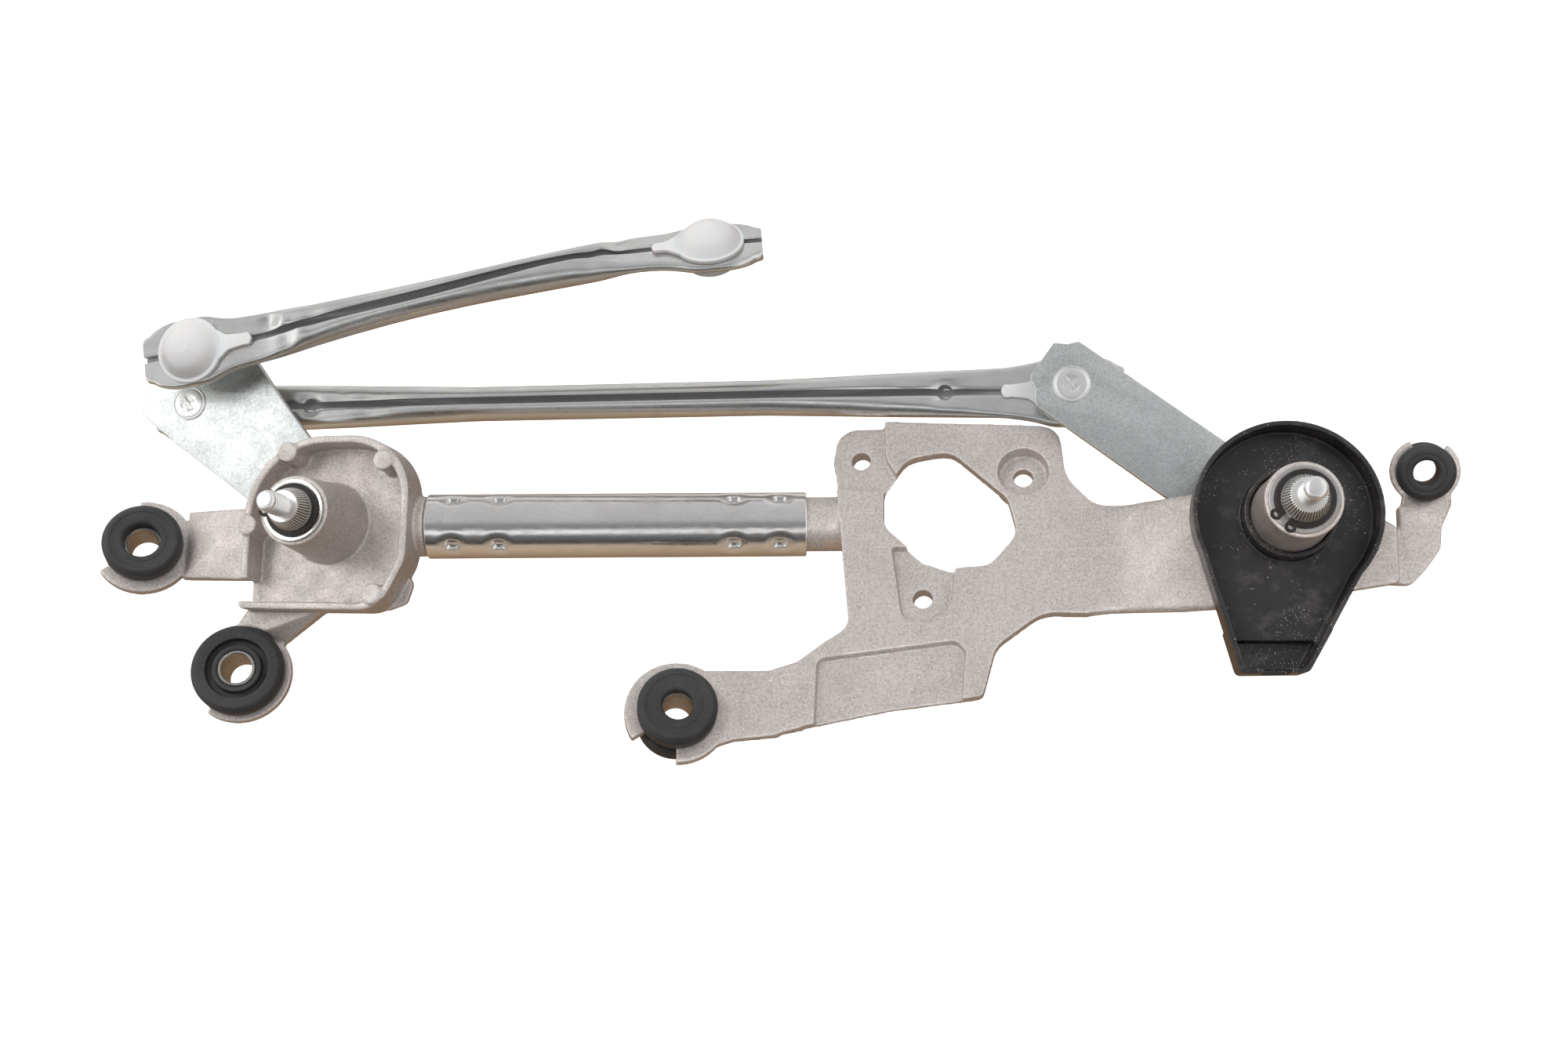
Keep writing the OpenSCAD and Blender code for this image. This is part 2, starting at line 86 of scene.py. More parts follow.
class Net:
    """Small helper that writes shader nodes."""

    def __init__(self, nt):
        self.nt = nt

    def node(self, kind, **props):
        n = self.nt.nodes.new(kind)
        for k, v in props.items():
            setattr(n, k, v)
        return n

    def link(self, a, b):
        self.nt.links.new(a, b)

    def coords(self, scale=(1, 1, 1), rot=(0, 0, 0)):
        tc = self.node("ShaderNodeTexCoord")
        mp = self.node("ShaderNodeMapping")
        mp.inputs["Scale"].default_value = scale
        mp.inputs["Rotation"].default_value = rot
        self.link(tc.outputs["Object"], mp.inputs["Vector"])
        return mp.outputs["Vector"]

    def noise(self, vec, scale, detail=3.0, rough=0.55, dist=0.0):
        n = self.node("ShaderNodeTexNoise")
        n.inputs["Scale"].default_value = scale
        n.inputs["Detail"].default_value = detail
        n.inputs["Roughness"].default_value = rough
        n.inputs["Distortion"].default_value = dist
        self.link(vec, n.inputs["Vector"])
        return n.outputs["Fac"]

    def vor(self, vec, scale, feature="F1"):
        n = self.node("ShaderNodeTexVoronoi", feature=feature)
        n.inputs["Scale"].default_value = scale
        self.link(vec, n.inputs["Vector"])
        return n

    def rng(self, val, a, b, lo=0.0, hi=1.0, smooth=False):
        n = self.node("ShaderNodeMapRange", clamp=True)
        if smooth:
            n.interpolation_type = "SMOOTHSTEP"
        n.inputs["From Min"].default_value = a
        n.inputs["From Max"].default_value = b
        n.inputs["To Min"].default_value = lo
        n.inputs["To Max"].default_value = hi
        self.link(val, n.inputs["Value"])
        return n.outputs["Result"]

    def math(self, op, a, b=None):
        n = self.node("ShaderNodeMath", operation=op)
        for i, v in enumerate((a, b)):
            if v is None:
                continue
            if isinstance(v, (int, float)):
                n.inputs[i].default_value = v
            else:
                self.link(v, n.inputs[i])
        return n.outputs[0]

    def mix(self, fac, a, b, mode="MIX"):
        n = self.node("ShaderNodeMix", data_type="RGBA", blend_type=mode)
        for sock, v in ((n.inputs[0], fac), (n.inputs[6], a), (n.inputs[7], b)):
            if isinstance(v, (int, float)):
                sock.default_value = v
            elif isinstance(v, tuple):
                sock.default_value = v if len(v) == 4 else (*v, 1.0)
            else:
                self.link(v, sock)
        return n.outputs[2]

    def bump(self, height, strength, dist, prev=None):
        n = self.node("ShaderNodeBump")
        n.inputs["Strength"].default_value = strength
        n.inputs["Distance"].default_value = dist
        self.link(height, n.inputs["Height"])
        if prev is not None:
            self.link(prev, n.inputs["Normal"])
        return n.outputs["Normal"]


def finish_mat(m, nt, col, metal, rough, normal=None, **extra):
    out = nt.nodes.new("ShaderNodeOutputMaterial")
    b = nt.nodes.new("ShaderNodeBsdfPrincipled")
    for key, v in (("Base Color", col), ("Metallic", metal), ("Roughness", rough)):
        if isinstance(v, (int, float)):
            b.inputs[key].default_value = v
        elif isinstance(v, tuple):
            b.inputs[key].default_value = v if len(v) == 4 else (*v, 1.0)
        else:
            nt.links.new(v, b.inputs[key])
    if normal is not None:
        nt.links.new(normal, b.inputs["Normal"])
    for k, v in extra.items():
        k = k.replace("_", " ")
        if hasattr(v, "is_linked"):
            nt.links.new(v, b.inputs[k])
        else:
            b.inputs[k].default_value = v
    nt.links.new(b.outputs[0], out.inputs["Surface"])
    return m


def metal_mat(name, col, dark, rough, grain, grain_scale, mottle=0.35, metal=1.0, streak=None,
              scratch=0.25, speck=0.0, lump=0.0, tint=None, rvar=0.12, wear_and_crease_shade=0.0, salt=0.0, painted_glow=0.0):
    m, nt = new_mat(name)
    k = Net(nt)
    v = k.coords()
    big = k.noise(v, 28.0, 4.0, 0.6, 0.3)
    mid = k.noise(v, 160.0, 5.0, 0.62, 0.2)
    fine = k.noise(v, grain_scale, 3.0, 0.6)
    f1 = k.rng(big, 0.35, 0.68, 0.0, mottle, True)
    c = k.mix(f1, col, dark)
    c = k.mix(k.rng(mid, 0.5, 0.72, 0.0, mottle * 0.7), c, dark)
    if tint is not None:
        c = k.mix(k.rng(k.noise(v, 45.0, 2.0), 0.45, 0.7, 0.0, 0.6), c, tint)
    if salt:
        # sandy grain of the surface
        sand = k.noise(v, 1250.0, 2.0, 0.7)
        c = k.mix(k.rng(sand, 0.47, 0.36, 0.0, salt), c, tuple(x * 0.62 for x in dark))
        c = k.mix(k.rng(sand, 0.54, 0.66, 0.0, salt), c, tuple(min(1.0, x * 1.35) for x in col))
    # hairline scratches in two directions
    s1 = k.noise(k.coords((18, 900, 300), (0.2, 0.1, 0.35)), 1.0, 2.0, 0.5, 0.15)
    s2 = k.noise(k.coords((1100, 22, 260), (0.1, 0.3, -0.5)), 1.0, 2.0, 0.5, 0.15)
    sc = k.math("MAXIMUM", k.rng(s1, 0.66, 0.74), k.rng(s2, 0.68, 0.76))
    c = k.mix(k.math("MULTIPLY", sc, scratch), c, tuple(min(1.0, x * 1.25) for x in col))
    if wear_and_crease_shade:
        # handled edges are rubbed brighter, and concave corners are darkened as painted shade
        geo = k.node("ShaderNodeNewGeometry")
        edge = k.rng(geo.outputs["Pointiness"], 0.515, 0.56, 0.0, wear_and_crease_shade, True)
        painted_crease_shade = k.rng(geo.outputs["Pointiness"], 0.485, 0.44, 0.0, wear_and_crease_shade, True)
        c = k.mix(edge, c, tuple(min(1.0, x * 1.35) for x in col))
        c = k.mix(painted_crease_shade, c, tuple(x * 0.55 for x in dark))
    if speck:
        sp = k.vor(v, 520.0)
        near = k.math("LESS_THAN", sp.outputs["Distance"], 0.13)
        pick = k.rng(k.noise(v, 90.0, 2.0), 0.58, 0.6)
        c = k.mix(k.math("MULTIPLY", k.math("MULTIPLY", near, pick), speck), c, tuple(x * 0.25 for x in dark))
    r = k.math("ADD", k.rng(mid, 0.3, 0.7, rough - rvar * 0.5, rough + rvar * 0.5), k.rng(big, 0.3, 0.7, -rvar * 0.4, rvar * 0.5))
    r = k.math("ADD", r, k.math("MULTIPLY", sc, -0.08))
    nrm = k.bump(fine, grain, 0.00012)
    if streak is not None:
        st = k.noise(k.coords(streak[0], streak[1]), 1.0, 3.0, 0.6, 0.1)
        nrm = k.bump(st, streak[2], 0.0001, nrm)
        r = k.math("ADD", r, k.rng(st, 0.35, 0.7, -0.04, 0.08))
        c = k.mix(k.rng(st, 0.4, 0.75, 0.0, 0.25), c, dark)
    if lump:
        nrm = k.bump(mid, lump, 0.0006, nrm)
    nrm = k.bump(sc, -0.15 * min(1.0, scratch * 3), 0.00004, nrm)
    # painted light: a faint grey emission stands in for light bounced into shaded interiors
    if painted_glow:
        return finish_mat(m, nt, c, metal, r, nrm, Emission_Color=(0.40, 0.40, 0.42, 1.0), Emission_Strength=painted_glow)
    return finish_mat(m, nt, c, metal, r, nrm)


def soft_mat(name, col, pale, rough, grain, grain_scale, dust=0.0, spec=0.5, rings=0.0, sss_and_glow=0.0, lump=0.1, rvar=0.16):
    m, nt = new_mat(name)
    k = Net(nt)
    v = k.coords()
    big = k.noise(v, 35.0, 4.0, 0.6)
    mid = k.noise(v, 210.0, 4.0, 0.6)
    fine = k.noise(v, grain_scale, 4.0, 0.65)
    c = k.mix(k.rng(big, 0.35, 0.7, 0.0, 0.5, True), col, pale)
    c = k.mix(k.rng(fine, 0.5, 0.8, 0.0, 0.35), c, pale)
    r = k.rng(mid, 0.3, 0.7, rough - rvar * 0.5, rough + rvar * 0.5)
    nrm = k.bump(fine, grain, 0.0001)
    nrm = k.bump(mid, lump, 0.0004, nrm)
    if dust:
        sp = k.vor(v, 430.0)
        sp2 = k.vor(k.coords((1, 1, 1), (0.4, 0.9, 0.2)), 1150.0)
        n1 = k.math("MULTIPLY", k.math("LESS_THAN", sp.outputs["Distance"], 0.085), k.rng(k.noise(v, 120.0, 2.0), 0.5, 0.52))
        n2 = k.math("MULTIPLY", k.math("LESS_THAN", sp2.outputs["Distance"], 0.14), k.rng(k.noise(v, 60.0, 3.0), 0.5, 0.54))
        d = k.math("MULTIPLY", k.math("MAXIMUM", n1, n2), dust)
        c = k.mix(d, c, (0.72, 0.70, 0.67))
        c = k.mix(k.rng(k.noise(v, 75.0, 5.0, 0.7), 0.52, 0.78, 0.0, 0.22 * dust), c, (0.55, 0.52, 0.49))
        r = k.math("ADD", r, k.math("MULTIPLY", d, 0.3))
    extra = {"Specular_IOR_Level": spec}
    if sss_and_glow:
        extra["Subsurface_Weight"] = sss_and_glow
        extra["Subsurface_Scale"] = 0.004
        # a faint white emission flattens the shading: painted glow
        extra["Emission_Color"] = (0.95, 0.95, 0.96, 1.0)
        extra["Emission_Strength"] = 0.045
    return finish_mat(m, nt, c, 0.0, r, nrm, **extra)


M = {}
M["cast"] = metal_mat("cast_aluminium", (0.65, 0.605, 0.58), (0.50, 0.46, 0.435), 0.52, 0.9, 1300.0,
                      mottle=0.55, metal=0.70, scratch=0.45, lump=0.25, rvar=0.16, tint=(0.70, 0.635, 0.615), wear_and_crease_shade=0.5, speck=0.3, salt=0.45)
# rod interiors: dull unplated zinc, darkened further as painted shade in the seam, with a painted glow for light off
# the opposite wall
M["inside"] = metal_mat("rod_inside_painted_shade", (0.42, 0.42, 0.42), (0.26, 0.26, 0.26), 0.42, 0.2, 1500.0, mottle=0.5, metal=0.75, painted_glow=0.09)
# darker steel for the knurl and thread valleys: painted shade in the grooves
M["groove"] = metal_mat("groove_steel_painted_shade", (0.30, 0.30, 0.295), (0.16, 0.155, 0.15), 0.45, 0.2, 2400.0, mottle=0.6, metal=0.8)
M["bronze"] = metal_mat("bush_bronze", (0.50, 0.34, 0.16), (0.30, 0.19, 0.08), 0.42, 0.3, 2400.0, mottle=0.5)
M["steel"] = metal_mat("plain_steel", (0.66, 0.65, 0.63), (0.46, 0.44, 0.42), 0.27, 0.12, 2600.0, mottle=0.35,
                       streak=((900, 900, 60), (0, 0, 0), 0.12), speck=0.5)
M["spindle"] = metal_mat("spindle_steel", (0.86, 0.86, 0.85), (0.68, 0.68, 0.67), 0.34, 0.08, 2600.0, mottle=0.4, metal=0.88,
                         streak=((1200, 1200, 120), (0, 0, 0), 0.15), speck=0.5)
M["lever"] = metal_mat("zinc_sheet", (0.74, 0.77, 0.76), (0.52, 0.55, 0.54), 0.31, 0.30, 1500.0, mottle=0.7, salt=0.35,
                       streak=((900, 700, 500), (0, 0, -0.75), 0.10), speck=0.3, tint=(0.80, 0.815, 0.79), lump=0.05, scratch=0.15)
M["zinc"] = metal_mat("zinc_tube", (0.80, 0.79, 0.78), (0.60, 0.585, 0.57), 0.17, 0.07, 1800.0, mottle=0.35,
                      streak=((26, 1500, 1500), (0, 0.17, 0.02), 0.16), speck=0.3, lump=0.035, rvar=0.1)
M["rod"] = metal_mat("zinc_rolled", (0.70, 0.705, 0.695), (0.50, 0.50, 0.485), 0.275, 0.05, 1800.0, mottle=0.45,
                     streak=((20, 900, 900), (0, 0, 0), 0.07), speck=0.3, lump=0.03, rvar=0.12, scratch=0.2)
M["black_steel"] = metal_mat("black_steel", (0.085, 0.08, 0.078), (0.04, 0.038, 0.036), 0.34, 0.25, 2600.0, mottle=0.4, scratch=0.6)
M["rubber"] = soft_mat("black_rubber", (0.030, 0.030, 0.031), (0.060, 0.060, 0.062), 0.56, 0.45, 2600.0, dust=0.12, spec=0.45, lump=0.12)
M["plastic"] = soft_mat("black_plastic", (0.022, 0.020, 0.020), (0.040, 0.038, 0.036), 0.30, 0.2, 2200.0, dust=0.8, spec=0.55, lump=0.1)
M["nylon"] = soft_mat("white_nylon", (0.72, 0.72, 0.72), (0.81, 0.81, 0.805), 0.34, 0.08, 1800.0, dust=0.0, spec=0.5, sss_and_glow=0.2, lump=0.06)
# sleeves are seen from their inside, so their colour is darkened as painted shade, and dull
M["sleeve"] = metal_mat("sleeve_steel", (0.52, 0.51, 0.49), (0.30, 0.29, 0.27), 0.36, 0.2, 2400.0, mottle=0.5,
                        streak=((1200, 1200, 90), (0, 0, 0), 0.15), speck=0.6)

NODE_SLOT = {}
for part in (frame["record"].get("material_slots") or []):
    NODE_SLOT[part.get("slot")] = True


# ---------------------------------------------------------------- mesh tools
def add_object(name, me, mat, body, node=None, smooth=35.0, inner=None):
    ob = bpy.data.objects.new(name, me)
    bpy.context.scene.collection.objects.link(ob)
    idx = None
    if inner:
        idx = np.zeros(len(me.polygons), np.int32)
        me.polygons.foreach_get("material_index", idx)
    me.materials.clear()
    me.materials.append(M[mat])
    if inner:
        me.materials.append(M[inner])
        me.polygons.foreach_set("material_index", np.minimum(idx, 1))
    me.shade_smooth()
    if smooth is not None and smooth < 179:
        me.set_sharp_from_angle(angle=math.radians(smooth))
    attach(ob, body)
    if node:
        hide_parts(node)
    return ob


def mesh_from(name, verts, faces, matrix=None, index=None):
    me = bpy.data.meshes.new(name)
    vs = [tuple(v) for v in verts]
    me.from_pydata(vs, [], faces)
    if index is not None:
        me.polygons.foreach_set("material_index", np.array(index, np.int32))
    me.validate()
    bm = bmesh.new()
    bm.from_mesh(me)
    bmesh.ops.remove_doubles(bm, verts=bm.verts, dist=1e-4)
    bmesh.ops.dissolve_degenerate(bm, edges=bm.edges, dist=1e-5)
    bmesh.ops.recalc_face_normals(bm, faces=bm.faces)
    bm.to_mesh(me)
    bm.free()
    if matrix is not None:
        me.transform(matrix)
    me.transform(Matrix.Scale(MM, 4))
    me.update()
    return me


def baked(ob, name):
    """The object's evaluated mesh as new mesh data; the object itself is removed."""
    dg = bpy.context.evaluated_depsgraph_get()
    dg.update()
    me = bpy.data.meshes.new_from_object(ob.evaluated_get(dg))
    me.name = name
    bpy.data.objects.remove(ob, do_unlink=True)
    return me


def temp_object(me):
    ob = bpy.data.objects.new("tmp", me)
    bpy.context.scene.collection.objects.link(ob)
    return ob


def fillet(points, seg=4):
    """Profile points (r, z, radius) with rounded corners; radius 0 keeps a corner."""
    out = []
    n = len(points)
    for i, p in enumerate(points):
        rad = p[2] if len(p) > 2 else 0.0
        if rad <= 0 or i in (0, n - 1):
            out.append((p[0], p[1]))
            continue
        a = np.array(points[i - 1][:2], float)
        b = np.array(p[:2], float)
        c = np.array(points[i + 1][:2], float)
        u, w = a - b, c - b
        lu, lw = np.linalg.norm(u), np.linalg.norm(w)
        u, w = u / lu, w / lw
        cosang = float(np.clip(u @ w, -1, 1))
        h = math.acos(cosang) / 2
        t = min(rad / math.tan(h), 0.48 * lu, 0.48 * lw)
        r = t * math.tan(h)
        cen = b + (u + w) / np.linalg.norm(u + w) * r / math.sin(h)
        e, f = b + u * t - cen, b + w * t - cen
        s = math.atan2(e[1], e[0])
        d = (math.atan2(f[1], f[0]) - s + 3 * math.pi) % (2 * math.pi) - math.pi
        for k in range(seg + 1):
            an = s + d * k / seg
            out.append((cen[0] + r * math.cos(an), cen[1] + r * math.sin(an)))
    return out


def lathe(name, profile, matrix, seg=96, closed=True, wobble=None):
    """Closed profile (r, z) spun about Z. Open profiles start and end on the axis."""
    prof = fillet(profile)
    verts, faces = [], []
    n = len(prof)
    for j in range(seg):
        a = 2 * math.pi * j / seg
        ca, sa = math.cos(a), math.sin(a)
        for r, z in prof:
            if wobble:
                r, z = wobble(r, z, a)
            verts.append((r * ca, r * sa, z))
    last = n if closed else n - 1
    for j in range(seg):
        k = (j + 1) % seg
        for i in range(last):
            i2 = (i + 1) % n
            faces.append((j * n + i, j * n + i2, k * n + i2, k * n + i))
    return mesh_from(name, verts, faces, matrix)


def boolean(me, cutters, name, op="DIFFERENCE"):
    ob = temp_object(me)
    temps = []
    for c in cutters:
        t = temp_object(c)
        temps.append(t)
        mod = ob.modifiers.new("b", "BOOLEAN")
        mod.operation = op
        mod.solver = "EXACT"
        mod.object = t
    res = baked(ob, name)
    for t in temps:
        bpy.data.objects.remove(t, do_unlink=True)
    return res


def cyl_mesh(r, z0, z1, matrix, seg=64, r2=None):
    r2 = r if r2 is None else r2
    verts, faces = [], []
    for j in range(seg):
        a = 2 * math.pi * j / seg
        verts.append((r * math.cos(a), r * math.sin(a), z0))
        verts.append((r2 * math.cos(a), r2 * math.sin(a), z1))
    for j in range(seg):
        k = (j + 1) % seg
        faces.append((2 * j, 2 * k, 2 * k + 1, 2 * j + 1))
    faces.append(tuple(range(2 * seg - 2, -1, -2)))
    faces.append(tuple(range(1, 2 * seg, 2)))
    return mesh_from("c", verts, faces, matrix)


def rounded(poly, step=2.0):
    """Polygon points (x, y, r) with round corners."""
    out = []
    n = len(poly)
    for i in range(n):
        p0, p1, p2 = poly[i - 1], poly[i], poly[(i + 1) % n]
        b = np.array(p1[:2], float)
        if p1[2] < 0.05:
            out.append(tuple(b))
            continue
        u, w = np.array(p0[:2], float) - b, np.array(p2[:2], float) - b
        lu, lw = np.linalg.norm(u), np.linalg.norm(w)
        u, w = u / lu, w / lw
        h = math.acos(float(np.clip(u @ w, -1, 1))) / 2
        t = min(p1[2] / math.tan(h), 0.49 * lu, 0.49 * lw)
        r = t * math.tan(h)
        cen = b + (u + w) / np.linalg.norm(u + w) * r / math.sin(h)
        e, f = b + u * t - cen, b + w * t - cen
        s = math.atan2(e[1], e[0])
        d = (math.atan2(f[1], f[0]) - s + 3 * math.pi) % (2 * math.pi) - math.pi
        k = max(4, int(abs(d) * r / step) + 1, int(abs(d) / 0.12))
        for q in range(k + 1):
            an = s + d * q / k
            out.append((cen[0] + r * math.cos(an), cen[1] + r * math.sin(an)))
    return out


def plate(name, outlines, z0, z1, bevel, matrix):
    """Flat plate with holes from closed outlines (the first is the edge), with round bevels on every edge."""
    cu = bpy.data.curves.new(name, "CURVE")
    cu.dimensions = "2D"
    cu.fill_mode = "BOTH"
    for o in outlines:
        sp = cu.splines.new("POLY")
        sp.points.add(len(o) - 1)
        for p, q in zip(sp.points, o):
            p.co = (q[0], q[1], 0.0, 1.0)
        sp.use_cyclic_u = True
    cu.extrude = (z1 - z0) / 2 - bevel
    cu.bevel_depth = bevel
    cu.bevel_resolution = 3
    cu.offset = -bevel
    ob = bpy.data.objects.new(name, cu)
    bpy.context.scene.collection.objects.link(ob)
    me = baked(ob, name)
    bm = bmesh.new()
    bm.from_mesh(me)
    bmesh.ops.remove_doubles(bm, verts=bm.verts, dist=1e-3)
    bmesh.ops.recalc_face_normals(bm, faces=bm.faces)
    bm.to_mesh(me)
    bm.free()
    me.transform(Matrix.Translation((0, 0, (z0 + z1) / 2)))
    me.transform(matrix)
    me.transform(Matrix.Scale(MM, 4))
    return me


def circle(x, y, r, n=48):
    return [(x + r * math.cos(2 * math.pi * i / n), y + r * math.sin(2 * math.pi * i / n)) for i in range(n)]


def joined(meshes, name):
    bm = bmesh.new()
    for me in meshes:
        bm.from_mesh(me)
    out = bpy.data.meshes.new(name)
    bm.to_mesh(out)
    bm.free()
    return out


def cast_mesh(node, name, voxel, smooth, extra=(), soft=()):
    """Soft-edged copy of a CAD part: welded, remeshed fine, smoothed."""
    me = N[node].data.copy()
    if extra:
        me = joined([me, *extra], name)
    bm = bmesh.new()
    bm.from_mesh(me)
    bmesh.ops.remove_doubles(bm, verts=bm.verts, dist=2e-6)
    bmesh.ops.recalc_face_normals(bm, faces=bm.faces)
    bm.to_mesh(me)
    bm.free()
    ob = temp_object(me)
    mod = ob.modifiers.new("r", "REMESH")
    mod.mode = "VOXEL"
    mod.voxel_size = voxel * 1.0
    mod.use_smooth_shade = True
    mod2 = ob.modifiers.new("s", "SMOOTH")
    mod2.factor = 0.5
    mod2.iterations = smooth
    res = baked(ob, name)
    for (x0, x1, y0, y1, z0, z1, fade, amount, rounds) in soft:
        ob = temp_object(res)
        vg = ob.vertex_groups.new(name="soft")
        co = np.zeros(len(res.vertices) * 3)
        res.vertices.foreach_get("co", co)
        co = co.reshape(-1, 3) / MM - np.array(LIFT)
        d = np.maximum.reduce([x0 - co[:, 0], co[:, 0] - x1, y0 - co[:, 1], co[:, 1] - y1, z0 - co[:, 2], co[:, 2] - z1])
        w = amount * np.clip(1 - d / fade, 0, 1)
        for q in range(1, 11):
            idx = np.nonzero((w > (q - 1) / 10 + 1e-6) & (w <= q / 10 + 1e-6))[0]
            if len(idx):
                vg.add([int(i) for i in idx], q / 10, "REPLACE")
        mod3 = ob.modifiers.new("s2", "SMOOTH")
        mod3.factor = 0.5
        mod3.iterations = rounds
        mod3.vertex_group = "soft"
        res = baked(ob, name)
    return res


# ---------------------------------------------------------------- castings
pads = [(-13.2, 25.2), (24.2, 21.6), (22.6, -27.6), (-27.2, -2.0)]
marks = [cyl_mesh(4.0, -31.0, -18.2, place((px, py, 0)), 48, 3.7) for px, py in pads]
marks += [cyl_mesh(3.3, 1.2, 2.25, place(FEET["l"][0], tilt(FEET["l"][1])) @ Matrix.Translation((20.5, 3.5, 0)), 40),
          cyl_mesh(3.1, 1.2, 2.2, place(FEET["ll"][0], tilt(FEET["ll"][1])) @ Matrix.Translation((3.5, 21.5, 0)), 40)]
housing = cast_mesh("left_housing", "housing_cast", 0.00048, 4, extra=marks)
add_object("left_housing_cast", housing, "cast", "frame", "left_housing", smooth=None)
bracket = cast_mesh("right_bracket", "bracket_cast", 0.00055, 4,
                    soft=[(286, 322, -60, 30, -60, -30, 8, 0.9, 30), (284, 320, -25, 3, -60, -26, 7, 0.9, 380), (168, 186, -90, -40, -60, 0, 5, 0.5, 40)])
add_object("right_bracket_cast", bracket, "cast", "frame", "right_bracket", smooth=None)
cover = cast_mesh("splash_cover", "cover_mould", 0.00042, 3)
add_object("splash_cover_mould", cover, "plastic", "frame", "splash_cover", smooth=None)


# ---------------------------------------------------------------- cross tube
def tube_mesh():
    axis = TUBE_B - TUBE_A
    length = axis.length
    d = axis.normalized()
    # the frame whose local y stays horizontal
    side = Vector((0, 0, 1)).cross(d).normalized()
    up = d.cross(side)
    nl, na = ((520, 256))
    ro, ri = 12.0, 10.2
    ss = [0.0]
    rr = [ro - 0.45]
    s = np.linspace(0.45, length - 0.45, nl)
    rows = [(0.0, ro - 0.45)] + [(0.13, ro - 0.13)] + [(x, ro) for x in s] + [(length - 0.13, ro - 0.13), (length, ro - 0.45)]
    inner = [(length, ri + 0.3), (length - 0.3, ri)] + [(length / 2, ri)] + [(0.3, ri), (0.0, ri + 0.3)]
    dents = [(e, a) for e in (10.0, 27.0, length - 27.0, length - 10.0) for a in (45, 135, 225, 315)]
    verts, faces = [], []
    n = len(rows) + len(inner)
    for j in range(na):
        th = 2 * math.pi * j / na
        for x, r in rows:
            depth = 0.0
            for e, a in dents:
                du = (x - e)
                if abs(du) > 12:
                    continue
                dv = ((th - math.radians(a) + math.pi) % (2 * math.pi) - math.pi) * ro
                if abs(dv) > 12:
                    continue
                q = ((abs(du) / 2.35) ** 3.2 + (abs(dv) / 2.0) ** 3.2) ** (1 / 3.2)
                if q < 1.12:
                    f = min(1.0, max(0.0, (1.12 - q) / 0.42))
                    depth += 1.5 * f * f * (3 - 2 * f)
                    # the punch leaves a small crown in the middle
                    depth -= 0.45 * math.exp(-(q / 0.42) ** 2)
                depth += 0.62 * math.exp(-(du * du / 17 + dv * dv / 12))
                # metal pushed up round the dent
                depth -= 0.10 * math.exp(-((math.hypot(du, dv) - 5.6) / 1.6) ** 2)
            # seam of the welded tube is barely visible; tiny ovality
            r2 = r - depth + 0.02 * math.sin(2 * th + 0.05 * x)
            verts.append((TUBE_A + d * x + up * (r2 * math.cos(th)) + side * (r2 * math.sin(th)))[:])
        for x, r in inner:
            verts.append((TUBE_A + d * x + up * (r * math.cos(th)) + side * (r * math.sin(th)))[:])
    for j in range(na):
        k = (j + 1) % na
        for i in range(n):
            i2 = (i + 1) % n
            faces.append((j * n + i, j * n + i2, k * n + i2, k * n + i))
    return mesh_from("tube", verts, faces, Matrix.Translation(LIFT))


add_object("cross_tube_drawn", tube_mesh(), "zinc", "frame", "cross_tube", smooth=40)


# ---------------------------------------------------------------- rods
def stadium_point(a, b, t):
    """Point at arc length t, from the top centre towards +y, on a flattened tube's outline."""
    b = min(b, a)
    f = a - b
    per = 4 * f + 2 * math.pi * b
    t = t % per
    if t <= f:
        return t, b
    t -= f
    if t <= math.pi * b:
        an = math.pi / 2 - t / b
        return f + b * math.cos(an), b * math.sin(an)
    t -= math.pi * b
    if t <= 2 * f:
        return f - t, -b
    t -= 2 * f
    if t <= math.pi * b:
        an = -math.pi / 2 - t / b
        return -f + b * math.cos(an), b * math.sin(an)
    t -= math.pi * b
    return -f + t, b


def perimeter(a, b):
    b = min(b, a)
    return 4 * (a - b) + 2 * math.pi * b


def table(pairs, x):
    xs = [p[0] for p in pairs]
    ys = [p[1] for p in pairs]
    return float(np.interp(x, xs, ys))


def smooth_table(pairs, x, w=4.0):
    return sum(table(pairs, x + w * q) for q in (-1, -0.5, 0, 0.5, 1)) / 5.0




def half_width(x, tip, widths):
    """Half-width of the rod at distance x inwards from the ball centre."""
    a = smooth_table(widths, x, 2.5)
    if x < -5:
        t = min(1.0, (-5 - x) / (tip - 5))
        a *= table([(0.0, 1.0), (0.22, 0.985), (0.45, 0.93), (0.62, 0.86), (0.72, 0.80), (0.80, 0.73), (0.88, 0.69), (0.96, 0.66), (1.0, 0.60)], t)
    return max(a, 0.12)


